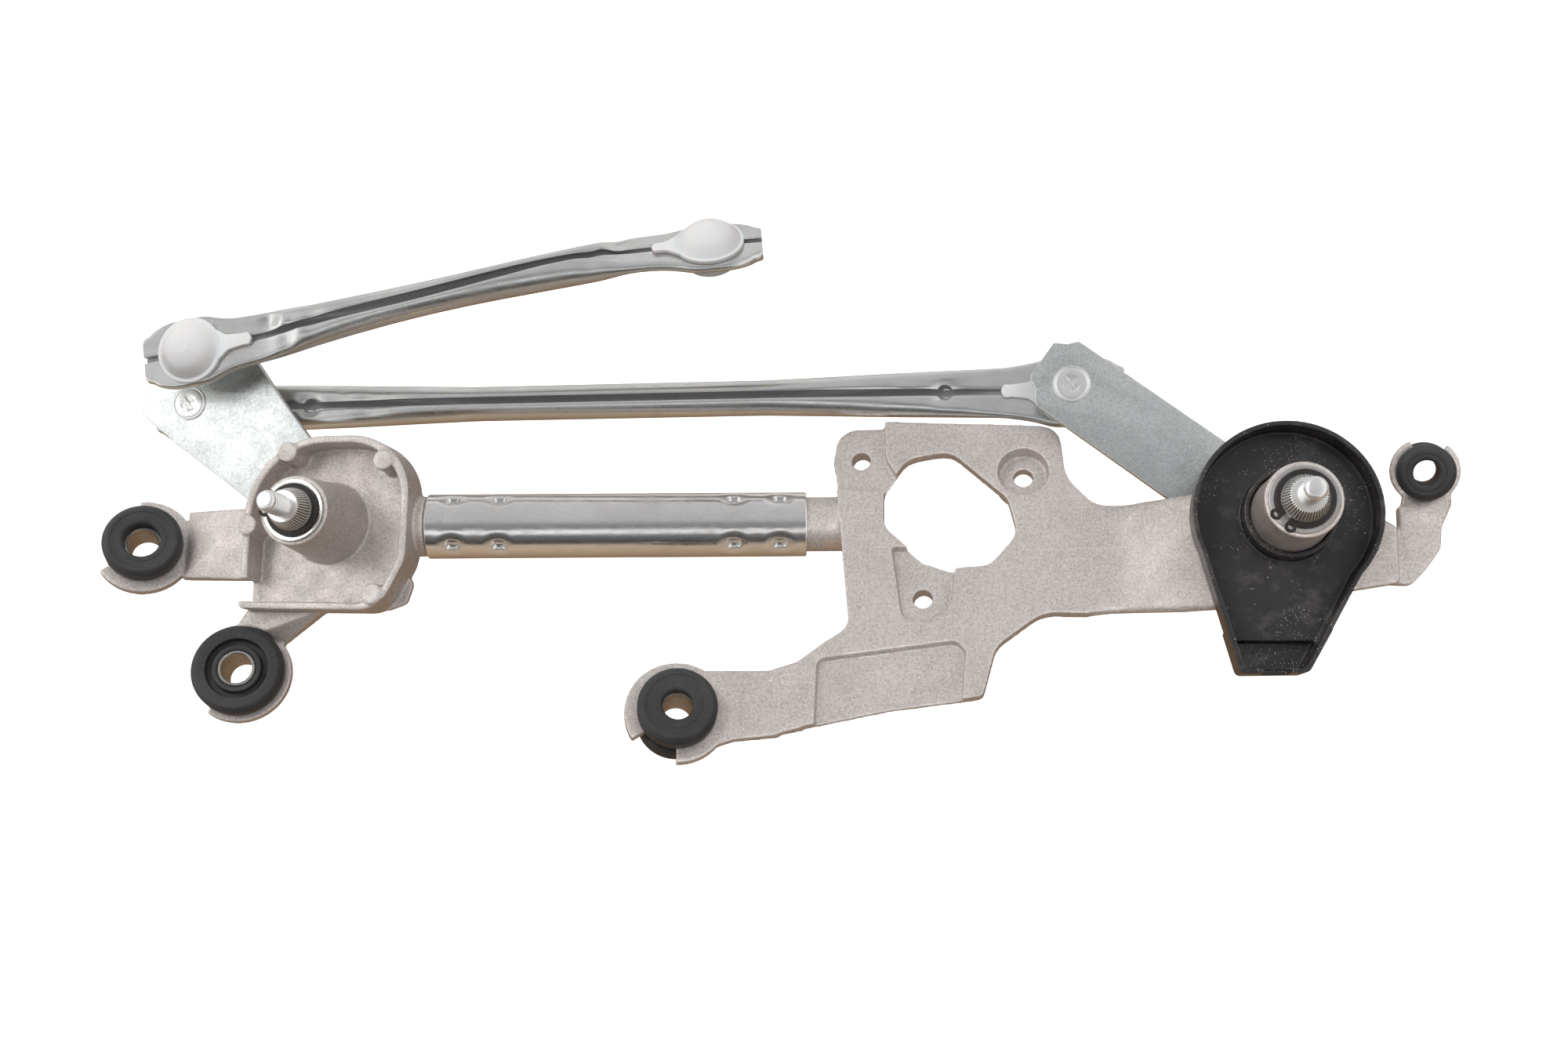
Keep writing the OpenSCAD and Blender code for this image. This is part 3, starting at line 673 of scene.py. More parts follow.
def rod_mesh(name, length, at, gap_mid, gap_end, tip, widths, heights, dimples=(), holes=()):
    """at(s) gives (centre, left, up) of the section at s; s runs from one ball to the other."""
    ss = set()
    for t in np.linspace(0, 1, 15):
        x = -tip + (tip - 5) * (1 - math.cos(t * math.pi / 2)) * 1.0
        ss.add(round(x, 3))
    for x in np.arange(-5, 30, 1.6):
        ss.add(round(float(x), 3))
    for x in np.arange(30, 100, 1.5):
        ss.add(round(float(x), 3))
    ends = sorted(x for x in ss if x < length / 2)
    left = ends
    rightside = [length - x for x in ends]
    mid = list(np.arange(100, length - 100, 4.0)) if length > 210 else []
    allss = sorted(set([round(x, 3) for x in left + rightside + mid]))
    # sections closer than 0.2 mm in the middle are merged
    keep = [allss[0]]
    for x in allss[1:]:
        if x - keep[-1] > (0.02 if (x < -10 or x > length + 10) else 0.5):
            keep.append(x)
    if keep[-1] != allss[-1]:
        keep[-1] = allss[-1]
    n = 96
    wall = 1.6
    verts, faces, index = [], [], []
    for s in keep:
        x = min(s, length - s)
        a = half_width(x, tip, widths)
        b = smooth_table(heights, x, 2.5)
        b = min(b, max(a, 0.1))
        w = min(wall, 0.82 * b)
        g = table([(-30, gap_end), (30, gap_end), (48, (gap_end + gap_mid) / 2), (75, gap_mid), (999, gap_mid)], x)
        g = min(g, 0.3 * a)
        cen, lf, up = at(s)
        po = perimeter(a, b)
        pi_ = perimeter(a - w, b - w)
        gi = min(g, 0.3 * (a - w))
        row = []
        for i in range(n):
            t = g + (po - 2 * g) * i / (n - 1)
            y, z = stadium_point(a, b, t)
            # rolled edges sink a little beside the seam
            z -= 0.35 * math.exp(-((abs(y) - g) / 0.55) ** 2) * (1 if z > 0 else 0) * min(1.0, b / 5.0)
            for dx, dy, rad, dep in dimples:
                q = ((s - dx) ** 2 + (y - dy) ** 2) / rad ** 2
                if z > 0 and q < 9:
                    z -= dep * math.exp(-q)
            row.append(cen + lf * y + up * z)
        for i in range(n):
            t = gi + (pi_ - 2 * gi) * (n - 1 - i) / (n - 1)
            y, z = stadium_point(a - w, b - w, t)
            for dx, dy, rad, dep in dimples:
                q = ((s - dx) ** 2 + (y - dy) ** 2) / rad ** 2
                if z > 0 and q < 9:
                    z -= dep * math.exp(-q)
            row.append(cen + lf * y + up * z)
        verts.extend(v[:] for v in row)
    m = 2 * n
    for k in range(len(keep) - 1):
        for i in range(m):
            i2 = (i + 1) % m
            faces.append((k * m + i, k * m + i2, (k + 1) * m + i2, (k + 1) * m + i))
            # inner wall faces take the second material: the dark rod interior with painted shade and painted glow
            index.append(1 if n <= i < m - 1 else 0)
    for k in (0, len(keep) - 1):
        for i in range(n - 1):
            faces.append((k * m + i, k * m + i + 1, k * m + m - 2 - i, k * m + m - 1 - i))
            index.append(0)
    me = mesh_from(name, verts, faces, Matrix.Translation(LIFT), index)
    cutters = []
    for s in (0.0, length):
        cen, lf, up = at(s)
        rot = Matrix((lf.cross(up), lf, up)).transposed().to_4x4()
        cutters.append(cyl_mesh(10.1, -6, 6, place(cen, rot), 96))
    for s, y, r in holes:
        cen, lf, up = at(s)
        rot = Matrix((lf.cross(up), lf, up)).transposed().to_4x4()
        cutters.append(cyl_mesh(r, 1.0, 9, place(cen + lf * y, rot), 40))
    return boolean(me, cutters, name)


def tie_at(s):
    return Vector((TIE[0] + s, TIE[1], TIE_Z)), Vector((0, 1, 0)), Vector((0, 0, 1))


TIE_W = [(-30, 13.6), (6, 13.6), (14, 11.2), (24, 9.6), (46, 8.9), (65, 8.4), (85, 7.7), (115, 6.75), (999, 6.7)]
TIE_H = [(-30, 2.0), (26, 2.0), (32, 2.5), (40, 3.4), (52, 4.4), (66, 5.1), (85, 5.9), (115, 6.65), (999, 6.7)]
DRV_W = [(-30, 13.8), (6, 13.8), (12, 11.6), (17, 10.4), (22, 10.0), (32, 9.6), (40, 9.0), (50, 8.1), (62, 7.4), (80, 6.7), (96, 6.4), (999, 6.4)]
DRV_H = [(-30, 2.0), (28, 2.0), (33, 2.5), (38, 3.7), (43, 4.8), (50, 5.5), (62, 6.0), (80, 6.3), (96, 6.4), (999, 6.4)]
tie = rod_mesh("tie_rod_rolled", PIVOT, tie_at, 1.45, 1.2, 19.6, TIE_W, TIE_H,
               dimples=[(46.5, 0, 4.0, 1.7), (PIVOT - 46.5, 0, 4.0, 1.7), (58, 4, 4.0, 0.5), (72, 4.5, 6.0, 0.45), (72, -4.5, 6.0, 0.45), (88, 3, 7.0, -0.3),
                        (PIVOT - 60, 4, 4.0, 0.5), (PIVOT - 72, -4.5, 6.0, 0.4)],
               holes=[(46.5, 0.0, 3.0), (PIVOT - 46.5, 0.0, 3.0)])
add_object("tie_rod_rolled", tie, "rod", "tie_rod_body", "tie_rod", smooth=38, inner="inside")

DRV_A = Vector((DRV[0], DRV[1], DRV_Z))
d_line = (CRANK - DRV_A)
DRV_L = d_line.length
d_line.normalize()
flat = Vector((d_line.x, d_line.y, 0)).normalized()
end_t = (d_line - CRANK_N * d_line.dot(CRANK_N)).normalized()
S1, S2 = 30.0, DRV_L - 28.0


P1 = DRV_A + flat * S1
P2 = CRANK - end_t * (DRV_L - S2)


def drv_line(s):
    if s <= S1:
        return DRV_A + flat * s
    if s >= S2:
        return CRANK - end_t * (DRV_L - s)
    q = (s - S1) / (S2 - S1)
    side = Vector((0, 0, 1)).cross(flat)
    return P1.lerp(P2, q) + (side * 1.1 + Vector((0, 0, 0.6))) * math.sin(math.pi * q)


def drv_at(s):
    """Section of the drive link: straight pieces with soft bends near both ends."""
    c = Vector((0, 0, 0))
    for o in (-6, -3, 0, 3, 6):
        c += drv_line(s + o) / 5.0
    t = (drv_line(s + 6.5) - drv_line(s - 6.5)).normalized()
    q = min(1.0, max(0.0, (s - S1) / (S2 - S1)))
    w = min(1.0, max(0.0, (q - 0.35) / 0.65))
    w = w * w * (3 - 2 * w)
    up = Vector((0, 0, 1)) * (1 - w) + CRANK_N * w
    up = (up - t * up.dot(t)).normalized()
    lf = up.cross(t).normalized()
    return c, lf, up


drv = rod_mesh("drive_link_rolled", DRV_L, drv_at, 1.75, 1.3, 19.8, DRV_W, DRV_H,
               dimples=[(33, 5.2, 3.2, 1.3), (39.5, 3.0, 2.6, -1.1), (40, -4.8, 3.2, 1.0), (46, -2.0, 2.6, -0.6), (52, 3.0, 4.5, 0.7), (DRV_L - 35, 5.0, 3.4, 1.4),
                        (DRV_L - 45, -3.5, 4.0, 0.9), (DRV_L - 40, 2.5, 2.8, -1.0)], holes=[])
add_object("drive_link_rolled", drv, "rod", "drive_link_body", "drive_link", smooth=38, inner="inside")


# ---------------------------------------------------------------- sockets
def socket_mesh(name, matrix, flip, direction, reach=25.8, full=1.15):
    seg = 112
    dome = []
    r0 = 10.4
    z_top = math.sqrt(r0 ** 2 - 2.6 ** 2)
    prof = [(2.4, z_top - 0.9, 0.4), (0.0, z_top - 0.9)]
    # outside, from the dome's shallow gate recess down to the mouth, then the inner cavity
    outer = [(0.0, z_top + 0.1), (1.4, z_top + 0.06, 0.3), (2.7, z_top - 0.02, 0.35)]
    for k in range(1, 13):
        an = math.radians(90 - math.degrees(math.asin(2.7 / r0)) - k * 4.9)
        z = r0 * math.sin(an)
        if z < 4.6:
            break
        outer.append(((1 + (full - 1) * min(1.0, k / 5.0)) * r0 * math.cos(an), z, 0.0))
    outer += [(9.8 * full, 4.25, 0.0), (9.98 * full, 3.9, 0.0), (10.25 * full, 3.72, 0.0)]
    outer += [(13.1, 3.7, 0.5), (13.1, 2.1, 0.3), (10.0, 2.1, 0.05), (10.0, -5.2, 0.0), (9.4, -6.4, 0.3), (7.2, -6.4, 0.3)]
    if flip:
        outer = [(0.0, z_top - 0.55), (2.0, z_top - 0.5, 0.3), (2.7, z_top + 0.02, 0.35)]
        for k in range(1, 13):
            an = math.radians(90 - math.degrees(math.asin(2.7 / r0)) - k * 4.9)
            z = r0 * math.sin(an)
            if z < 2.2:
                break
            outer.append((r0 * math.cos(an), z, 0.0))
        outer += [(10.0, 2.1, 0.05), (10.0, -2.1, 0.05), (13.1, -2.1, 0.3), (13.1, -3.7, 0.35), (10.0, -3.7, 0.2),
                  (9.8, -6.0, 0.0), (9.4, -6.4, 0.2), (7.2, -6.4, 0.3)]
    rb = 8.06
    cav = []
    for k in range(0, 14):
        an = math.radians(-57.5 + k * (147.5 / 13.0))
        an = min(an, math.radians(90))
        cav.append((max(0.0, rb * math.cos(an)), rb * math.sin(an), 0.0))
    prof = outer + cav
    me = lathe(name, prof, Matrix.Identity(4), seg, closed=False)
    tz = (2.12, 3.66) if not flip else (-3.66, -2.12)
    ca = math.radians(direction)
    pts = [(8.6, -6.2, 0.0), (11.6, -6.2, 1.0), (15.5, -3.1, 4.0), (reach - 4.3, -2.4, 4.0), (reach - 1.2, -2.5, 1.4), (reach, 0.0, 1.6), (reach - 1.2, 2.5, 1.4), (reach - 4.3, 2.4, 4.0),
           (15.5, 3.1, 4.0), (11.6, 6.2, 1.0), (8.6, 6.2, 0.0)]
    tongue = plate(name + "_t", [rounded(pts, 0.5)], tz[0], tz[1], 0.28, Matrix.Rotation(ca, 4, "Z"))
    out = joined([me, tongue], name)
    out.transform(Matrix.Scale(1000.0, 4))
    out.transform(matrix)
    out.transform(Matrix.Scale(MM, 4))
    return out


mirror_z = Matrix.Scale(-1.0, 4, (0, 0, 1))
drv_dir = math.degrees(math.atan2(CRANK.y - DRV[1], CRANK.x - DRV[0]))


def flipped(me):
    me.flip_normals()
    return me


add_object("drive_socket_lever_nylon", socket_mesh("ds_l", place(DRV_A), False, drv_dir), "nylon", "drive_link_body", "drive_socket_lever", smooth=40)
add_object("drive_socket_crank_nylon", socket_mesh("ds_c", place(CRANK, tilt(CRANK_N)), False, drv_dir + 180, 22.0, 1.2), "nylon", "drive_link_body", "drive_socket_crank", smooth=40)
add_object("tie_socket_left_nylon", flipped(socket_mesh("ts_l", place((TIE[0], TIE[1], TIE_Z)) @ mirror_z, True, 0)), "nylon", "tie_rod_body", "tie_socket_left", smooth=40)
add_object("tie_socket_right_nylon", flipped(socket_mesh("ts_r", place((PIVOT + TIE[0], TIE[1], TIE_Z)) @ mirror_z, True, 180)), "nylon", "tie_rod_body", "tie_socket_right", smooth=40)


# ---------------------------------------------------------------- spindles
def spindle_mesh(name, x, phase):
    """Shaft with a knurled cone, a cut M8 thread and a swaged lower end."""
    nth = 352
    teeth = 44
    rows = []  # (z, r, kind)
    rows += [(-55.0, 0.0, 0), (-54.6, 2.0, 0), (-55.0, 3.2, 0), (-55.0, 7.3, 0), (-54.8, 7.75, 0), (-54.3, 8.0, 0), (-53.4, 8.0, 0), (-53.0, 8.0, 0),
             (-53.0, 6.0, 0), (-50.0, 6.0, 0), (-50.0, 9.8, 0), (-49.8, 10.0, 0), (-46.8, 10.0, 0), (-46.6, 9.8, 0),
             (-46.6, 7.97, 0), (-10.0, 7.97, 0), (0.0, 7.97, 0), (1.0, 7.97, 0), (1.1, 7.9, 0), (1.1, 7.25, 0), (2.2, 7.25, 0), (2.2, 7.72, 0)]
    rows += [(2.3, 7.8, 1), (2.8, 7.8, 2)]
    for q in np.linspace(0, 1, 14)[1:]:
        rows.append((2.8 + q * 5.9, 7.8 - 1.78 * q, 3))
    rows += [(8.85, 5.85, 4), (9.0, 5.55, 0), (9.0, 4.25, 0), (9.1, 3.55, 0), (9.9, 3.45, 0)]
    nz = 120
    for z in np.linspace(10.0, 21.0, nz):
        rows.append((float(z), 4.0, 5))
    rows += [(21.15, 3.4, 0), (21.45, 3.15, 0), (21.7, 2.75, 0), (21.85, 2.2, 0), (21.93, 1.5, 0), (21.98, 0.8, 0), (22.0, 0.0, 0)]
    verts = []
    pitch = 1.25
    for z, r, kind in rows:
        for j in range(nth):
            th = 2 * math.pi * j / nth
            rr = r
            zz = z
            if kind in (2, 3, 4):
                f = (th * teeth / (2 * math.pi) + phase) % 1.0
                tooth = 1 - abs(2 * f - 1)           # 0 in the valley, 1 at the crest
                tooth = min(1.0, tooth * 1.25)
                depth = 0.62 if kind == 3 else 0.35
                rr = r - depth * (1 - tooth) + 0.02
            elif kind == 5:
                u = ((z - 10.0) / pitch - th / (2 * math.pi) + phase) % 1.0
                tri = abs(2 * u - 1)
                prof = min(1.0, max(0.0, (tri - 0.12) / 0.70))
                env = min(1.0, (z - 9.9) / 1.0)
                out_ = min(1.0, (21.2 - z) / 1.6)
                deep = 0.62
                rr = 4.0 - 0.02 - deep * (1 - prof)
                lim = 3.38 + 0.62 * max(0.0, env)
                rr = min(rr, lim, 3.35 + 0.65 * max(0.0, out_))
            verts.append((rr * math.cos(th), rr * math.sin(th), zz))
    faces, groove = [], []
    for i in range(len(rows) - 1):
        z, kind = rows[i][0], min(rows[i][2], rows[i + 1][2])
        for j in range(nth):
            k = (j + 1) % nth
            faces.append((i * nth + j, i * nth + k, (i + 1) * nth + k, (i + 1) * nth + j))
            turn = (j + 0.5) / nth
            f = (turn * teeth + phase) % 1.0
            u = ((z + 0.05 - 10.0) / pitch - turn + phase) % 1.0
            # valley faces of the knurl and thread take the darker second material as painted shade
            low = (kind in (2, 3) and 1 - abs(2 * f - 1) < 0.34) or (kind == 5 and abs(2 * u - 1) < 0.26)
            groove.append(1 if low else 0)
    me = bpy.data.meshes.new(name)
    me.from_pydata(verts, [], faces)
    me.polygons.foreach_set("material_index", np.array(groove, np.int32))
    bm = bmesh.new()
    bm.from_mesh(me)
    bmesh.ops.remove_doubles(bm, verts=bm.verts, dist=1e-5)
    bmesh.ops.dissolve_degenerate(bm, edges=bm.edges, dist=1e-5)
    bmesh.ops.recalc_face_normals(bm, faces=bm.faces)
    bm.to_mesh(me)
    bm.free()
    me.transform(place((x, 0, 0)))
    me.transform(Matrix.Scale(MM, 4))
    return me


add_object("left_spindle_turned", spindle_mesh("sp_l", 0.0, 0.1), "spindle", "left_spindle_body", "left_spindle", smooth=32, inner="groove")
add_object("right_spindle_turned", spindle_mesh("sp_r", PIVOT, 0.35), "spindle", "right_spindle_body", "right_spindle", smooth=32, inner="groove")

# ---------------------------------------------------------------- levers
left_pts = [(-42.5, 12, 4), (-56.9, 22.4, 30), (-76.5, 36.2, 30), (-91, 47.6, 8), (-92.8, 56, 3), (-88.6, 62.6, 3),
            (-84, 82, 16), (-58, 88, 16), (-44.4, 69, 8), (-33.1, 53.7, 20), (-20, 37.4, 20), (16, 6, 12), (10, -18, 14), (-14, -14, 12)]
right_pts = [(-72.8, 67.3, 1), (-77.8, 67.9, 1), (-86.7, 55.3, 2), (-84.8, 50.9, 1), (-84.8, 44.8, 2),
             (-39.8, 10.5, 0), (-20, -4, 10), (-8, -16, 12), (14, -10, 12), (13, 9, 12), (-17.8, 29.9, 30), (-68.6, 68.2, 2)]
add_object("left_lever_pressed",
           plate("lev_l", [rounded(left_pts), circle(0, 0, 6, 64), circle(*TIE, 5), circle(*DRV, 5)], LEV_Z - 3, LEV_Z, 0.45, place((0, 0, 0))),
           "lever", "left_spindle_body", "left_lever", smooth=40)
add_object("right_lever_pressed",
           plate("lev_r", [rounded(right_pts), circle(0, 0, 6, 64), circle(*TIE, 5)], LEV_Z - 3, LEV_Z, 0.45, place((PIVOT, 0, 0))),
           "lever", "right_spindle_body", "right_lever", smooth=40)


def stud_mesh(name, x, y, bz, s):
    """Ball stud swaged in a lever; s = 1 points up, -1 points down."""
    rb = 8.0
    neck = 4.6
    top = LEV_Z if s > 0 else LEV_Z - 3
    sgn = 1 if s > 0 else -1
    prof = [(0.0, bz + sgn * rb)]
    for k in range(1, 15):
        an = math.radians(90 - k * 10.0)
        if math.sin(an) * rb < -math.sqrt(rb ** 2 - neck ** 2):
            break
        prof.append((rb * math.cos(an), bz + sgn * rb * math.sin(an), 0.0))
    zc = -math.sqrt(rb ** 2 - neck ** 2)
    prof.append((neck, bz + sgn * zc, 0.3))
    prof += [(neck, top + sgn * 1.2, 0.3), (6.4, top + sgn * 1.2, 0.3), (6.4, top, 0.0), (5.0, top, 0.0)]
    far = LEV_Z - 3 if s > 0 else LEV_Z
    prof += [(5.0, far, 0.0), (6.9, far, 0.1), (6.8, far - sgn * 0.42, 0.25), (6.3, far - sgn * 0.5, 0.2), (5.95, far - sgn * 0.28, 0.25),
             (5.5, far - sgn * 0.55, 0.3)]
    prof += [(r, far - sgn * 0.60) for r in (5.0, 4.5, 4.0, 3.5, 3.0, 2.5, 2.0, 1.5, 1.0, 0.5)] + [(0.0, far - sgn * 0.60)]

    def wob(r, z, a):
        if abs(z - (far - sgn * 0.60)) < 0.01 and 0 < r < 4.9:
            u, v = r * math.cos(a), r * math.sin(a)
            f = min(1.0, max(0.0, (3.6 - r) / 1.0))
            z += sgn * f * (0.22 + 0.07 * math.sin(1.3 * u + 0.5 * v + 1) + 0.05 * math.sin(1.7 * v - 1.1 * u) + 0.03 * math.sin(3.1 * u + 2.3 * v))
        return r, z
    return lathe(name, prof, place((x, y, 0)), 96, closed=False, wobble=wob)


add_object("left_tie_stud_swaged", stud_mesh("st_l", TIE[0], TIE[1], TIE_Z, -1), "spindle", "left_spindle_body", "left_tie_stud", smooth=40)
add_object("drive_stud_swaged", stud_mesh("st_d", DRV[0], DRV[1], DRV_Z, 1), "spindle", "left_spindle_body", "drive_stud", smooth=40)
add_object("right_tie_stud_swaged", stud_mesh("st_r", PIVOT + TIE[0], TIE[1], TIE_Z, -1), "spindle", "right_spindle_body", "right_tie_stud", smooth=40)

# ---------------------------------------------------------------- washers, rings, clips
for side, cx in (("left", 0.0), ("right", PIVOT)):
    body = side + "_spindle_body"
    top = lathe("tw", [(8.1, 0.05, 0.12), (11.2, 0.05, 0.2), (11.2, 1.05, 0.3), (8.1, 1.05, 0.18), (8.1, 0.05, 0.12)][:-1] and
                [(8.3, 0.05, 0.0), (11.0, 0.05, 0.0), (11.2, 0.25, 0.0), (11.2, 0.8, 0.0), (10.95, 1.05, 0.0), (8.35, 1.05, 0.0), (8.1, 0.85, 0.0), (8.1, 0.25, 0.0)],
                place((cx, 0, 0)), 128)
    add_object(side + "_top_washer_pressed", top, "steel", "frame", side + "_top_washer", smooth=40)
    low = lathe("lw", [(8.3, -46.55, 0), (11.3, -46.55, 0), (11.5, -46.4, 0), (11.5, -45.7, 0), (11.3, -45.55, 0), (8.3, -45.55, 0), (8.1, -45.7, 0), (8.1, -46.4, 0)],
                place((cx, 0, 0)), 96)
    add_object(side + "_thrust_washer_pressed", low, "steel", "frame", side + "_thrust_washer", smooth=40)
    oring = lathe("or", [(9.22 + 1.18 * math.cos(a), -1.6 + 1.18 * math.sin(a), 0) for a in np.linspace(0, 2 * math.pi, 25)[:-1]], place((cx, 0, 0)), 96)
    add_object(side + "_o_ring_moulded", oring, "rubber", "frame", side + "_o_ring", smooth=None)
    for kind, z0 in (("upper", -16.0), ("lower", -45.5)):
        bush = lathe("bu", [(8.35, z0, 0), (9.25, z0, 0), (9.5, z0 + 0.3, 0), (9.5, z0 + 12.7, 0), (9.25, z0 + 13, 0), (8.35, z0 + 13, 0), (8.0, z0 + 12.6, 0), (8.0, z0 + 0.4, 0)],
                     place((cx, 0, 0)), 96)
        add_object(f"{side}_{kind}_bush_sintered", bush, "bronze", "frame", f"{side}_{kind}_bush", smooth=40)


def circlip_mesh(name, cx, ang):
    """External retaining ring with two eared ends."""
    pts = []
    half = math.radians(9.0)
    ear = math.radians(17.0)
    n = 96
    # outside, anticlockwise from one ear to the other
    pts_out = []
    for i in range(n + 1):
        a = math.radians(26) + (2 * math.pi - 2 * math.radians(26)) * i / n
        # the ring is widest opposite the gap
        r = 9.35 + 0.35 * (1 - math.cos(a)) / 2
        pts_out.append((r * math.cos(a), r * math.sin(a)))
    # lower ear (at -17 degrees)
    ear_lo = []
    c = (10.3 * math.cos(-ear), 10.3 * math.sin(-ear))
    for i in range(17):
        a = -ear - math.radians(75) + math.radians(165) * i / 16
        ear_lo.append((c[0] + 2.0 * math.cos(a), c[1] + 2.0 * math.sin(a)))
    inner = []
    for i in range(n + 1):
        a = -half - (2 * math.pi - 2 * half) * i / n
        r = 7.3
        inner.append((r * math.cos(a), r * math.sin(a)))
    c2 = (10.3 * math.cos(ear), 10.3 * math.sin(ear))
    ear_hi = []
    for i in range(17):
        a = ear - math.radians(90) + math.radians(165) * i / 16
        ear_hi.append((c2[0] + 2.0 * math.cos(a), c2[1] + 2.0 * math.sin(a)))
    loop = pts_out + ear_lo + inner + ear_hi
    holes = [circle(10.4 * math.cos(s * ear), 10.4 * math.sin(s * ear), 0.9, 24) for s in (-1, 1)]
    return plate(name, [loop] + holes, 1.15, 2.15, 0.14, place((cx, 0, 0), Matrix.Rotation(math.radians(ang), 4, "Z")))


add_object("left_circlip_spring", circlip_mesh("cl_l", 0.0, 165), "black_steel", "left_spindle_body", "left_circlip", smooth=40)
add_object("right_circlip_spring", circlip_mesh("cl_r", PIVOT, 225), "black_steel", "right_spindle_body", "right_circlip", smooth=40)


# ---------------------------------------------------------------- grommets and sleeves
def grommet_mesh(name, f, bore, lip=None, groove=None):
    c, n, d, g = f
    R = d / 2
    prof = [(bore, -10 + 0.5, 0), (bore + 0.5, -10, 0), (R - 1.6, -10, 1.2), (R, -8.4, 1.2), (R, -3.6, 0.8), (R - 0.6, -2.25, 0.5),
            (g, -2.2, 0.25), (g, 2.2, 0.25), (R - 0.6, 2.25, 0.5), (R, 3.6, 0.8), (R, 8.2, 1.3), (R - 1.7, 10, 1.3)]
    if groove:
        prof += [(groove[1], 10, 0.35), (groove[1] - 0.2, 7.2, 0.5), (groove[0] + 0.2, 7.2, 0.5), (groove[0], 9.8, 0.4)]
    else:
        # shallow moulded step and rings on the face
        prof += [(R - 3.0, 9.95, 0.2), (R - 3.2, 9.72, 0.15), (bore + 2.2, 9.72, 0.2), (bore + 1.9, 9.95, 0.2)]
    if lip:
        prof += [(lip + 0.8, 9.9, 0.4), (lip, 9.2, 0.4), (lip + 0.2, 6.2, 0.4), (bore, 5.3, 0.2)]
    else:
        prof += [(bore + 0.8, 9.9, 0.4), (bore, 9.2, 0.4)]

    def wob(r, z, a):
        return r + 0.03 * math.sin(5 * a + z), z
    return lathe(name, prof, place(c, tilt(n)), 128, wobble=None)


add_object("left_grommet_moulded", grommet_mesh("g_l", FEET["l"], 6.5), "rubber", "frame", "left_grommet", smooth=45)
add_object("middle_grommet_moulded", grommet_mesh("g_m", FEET["m"], 6.5, lip=5.3), "rubber", "frame", "middle_grommet", smooth=45)
add_object("right_grommet_moulded", grommet_mesh("g_r", FEET["r"], 4.2), "rubber", "frame", "right_grommet", smooth=45)
add_object("lower_left_grommet_moulded", grommet_mesh("g_ll", FEET["ll"], 6.5, groove=(8.6, 11.0)), "rubber", "frame", "lower_left_grommet", smooth=45)
for nm, key, top in (("left_sleeve", "l", 5.0), ("middle_sleeve", "m", 5.0), ("lower_left_sleeve", "ll", 0.0)):
    c, n, d, g = FEET[key]
    prof = [(5.5, -9.7, 0), (5.8, -10, 0), (6.3, -10, 0), (6.5, -9.8, 0), (6.5, 9.75 - top, 0), (6.25, 10 - top, 0), (5.8, 10 - top, 0), (5.5, 9.7 - top, 0)]
    add_object(nm + "_turned", lathe(nm, prof, place(c, tilt(n)), 96), "sleeve", "frame", nm, smooth=40)


# ---------------------------------------------------------------- stage, light, camera
def stage_floor():
    half = 6.0
    z = -0.42
    me = bpy.data.meshes.new("floor")
    me.from_pydata([(-half, -half, z), (half, -half, z), (half, half, z), (-half, half, z)], [], [(0, 1, 2, 3)])
    ob = bpy.data.objects.new("floor", me)
    bpy.context.scene.collection.objects.link(ob)
    m, nt = new_mat("floor_paper")
    k = Net(nt)
    v = k.coords()
    c = k.mix(k.rng(k.noise(v, 3.0, 3.0), 0.3, 0.7, 0.0, 1.0), (0.93, 0.93, 0.93), (0.955, 0.955, 0.955))
    lp = k.node("ShaderNodeLightPath")
    b = k.node("ShaderNodeBsdfPrincipled")
    b.inputs["Roughness"].default_value = 0.9
    b.inputs["Specular IOR Level"].default_value = 0.1
    k.link(c, b.inputs["Base Color"])
    k.link(k.bump(k.noise(v, 900.0, 2.0), 0.05, 0.0002), b.inputs["Normal"])
    em = k.node("ShaderNodeEmission")
    em.inputs["Color"].default_value = (1, 1, 1, 1)
    k.link(k.math("MULTIPLY", lp.outputs["Is Camera Ray"], 0.62), em.inputs["Strength"])
    mx = k.node("ShaderNodeAddShader")
    k.link(b.outputs[0], mx.inputs[0])
    k.link(em.outputs[0], mx.inputs[1])
    out = k.node("ShaderNodeOutputMaterial")
    k.link(mx.outputs[0], out.inputs["Surface"])
    me.materials.append(m)
    ob.visible_glossy = False
    ob.visible_diffuse = False
    return ob


stage_floor()

world = bpy.data.worlds.new("studio")
bpy.context.scene.world = world
world.use_nodes = True
wn = world.node_tree
wn.nodes.clear()
kw = Net(wn)
tc = kw.node("ShaderNodeTexCoord")
sep = kw.node("ShaderNodeSeparateXYZ")
kw.link(tc.outputs["Generated"], sep.inputs[0])
DX, DY, DZ = sep.outputs["X"], sep.outputs["Y"], sep.outputs["Z"]


def ramp_of(fac, stops):
    r = kw.node("ShaderNodeValToRGB")
    kw.link(fac, r.inputs["Fac"])
    el = r.color_ramp.elements
    el[0].position, el[0].color = stops[0][0], (*stops[0][1], 1)
    el[1].position, el[1].color = stops[-1][0], (*stops[-1][1], 1)
    for pos, col in stops[1:-1]:
        e = el.new(pos)
        e.color = (*col, 1)
    return r.outputs["Color"]


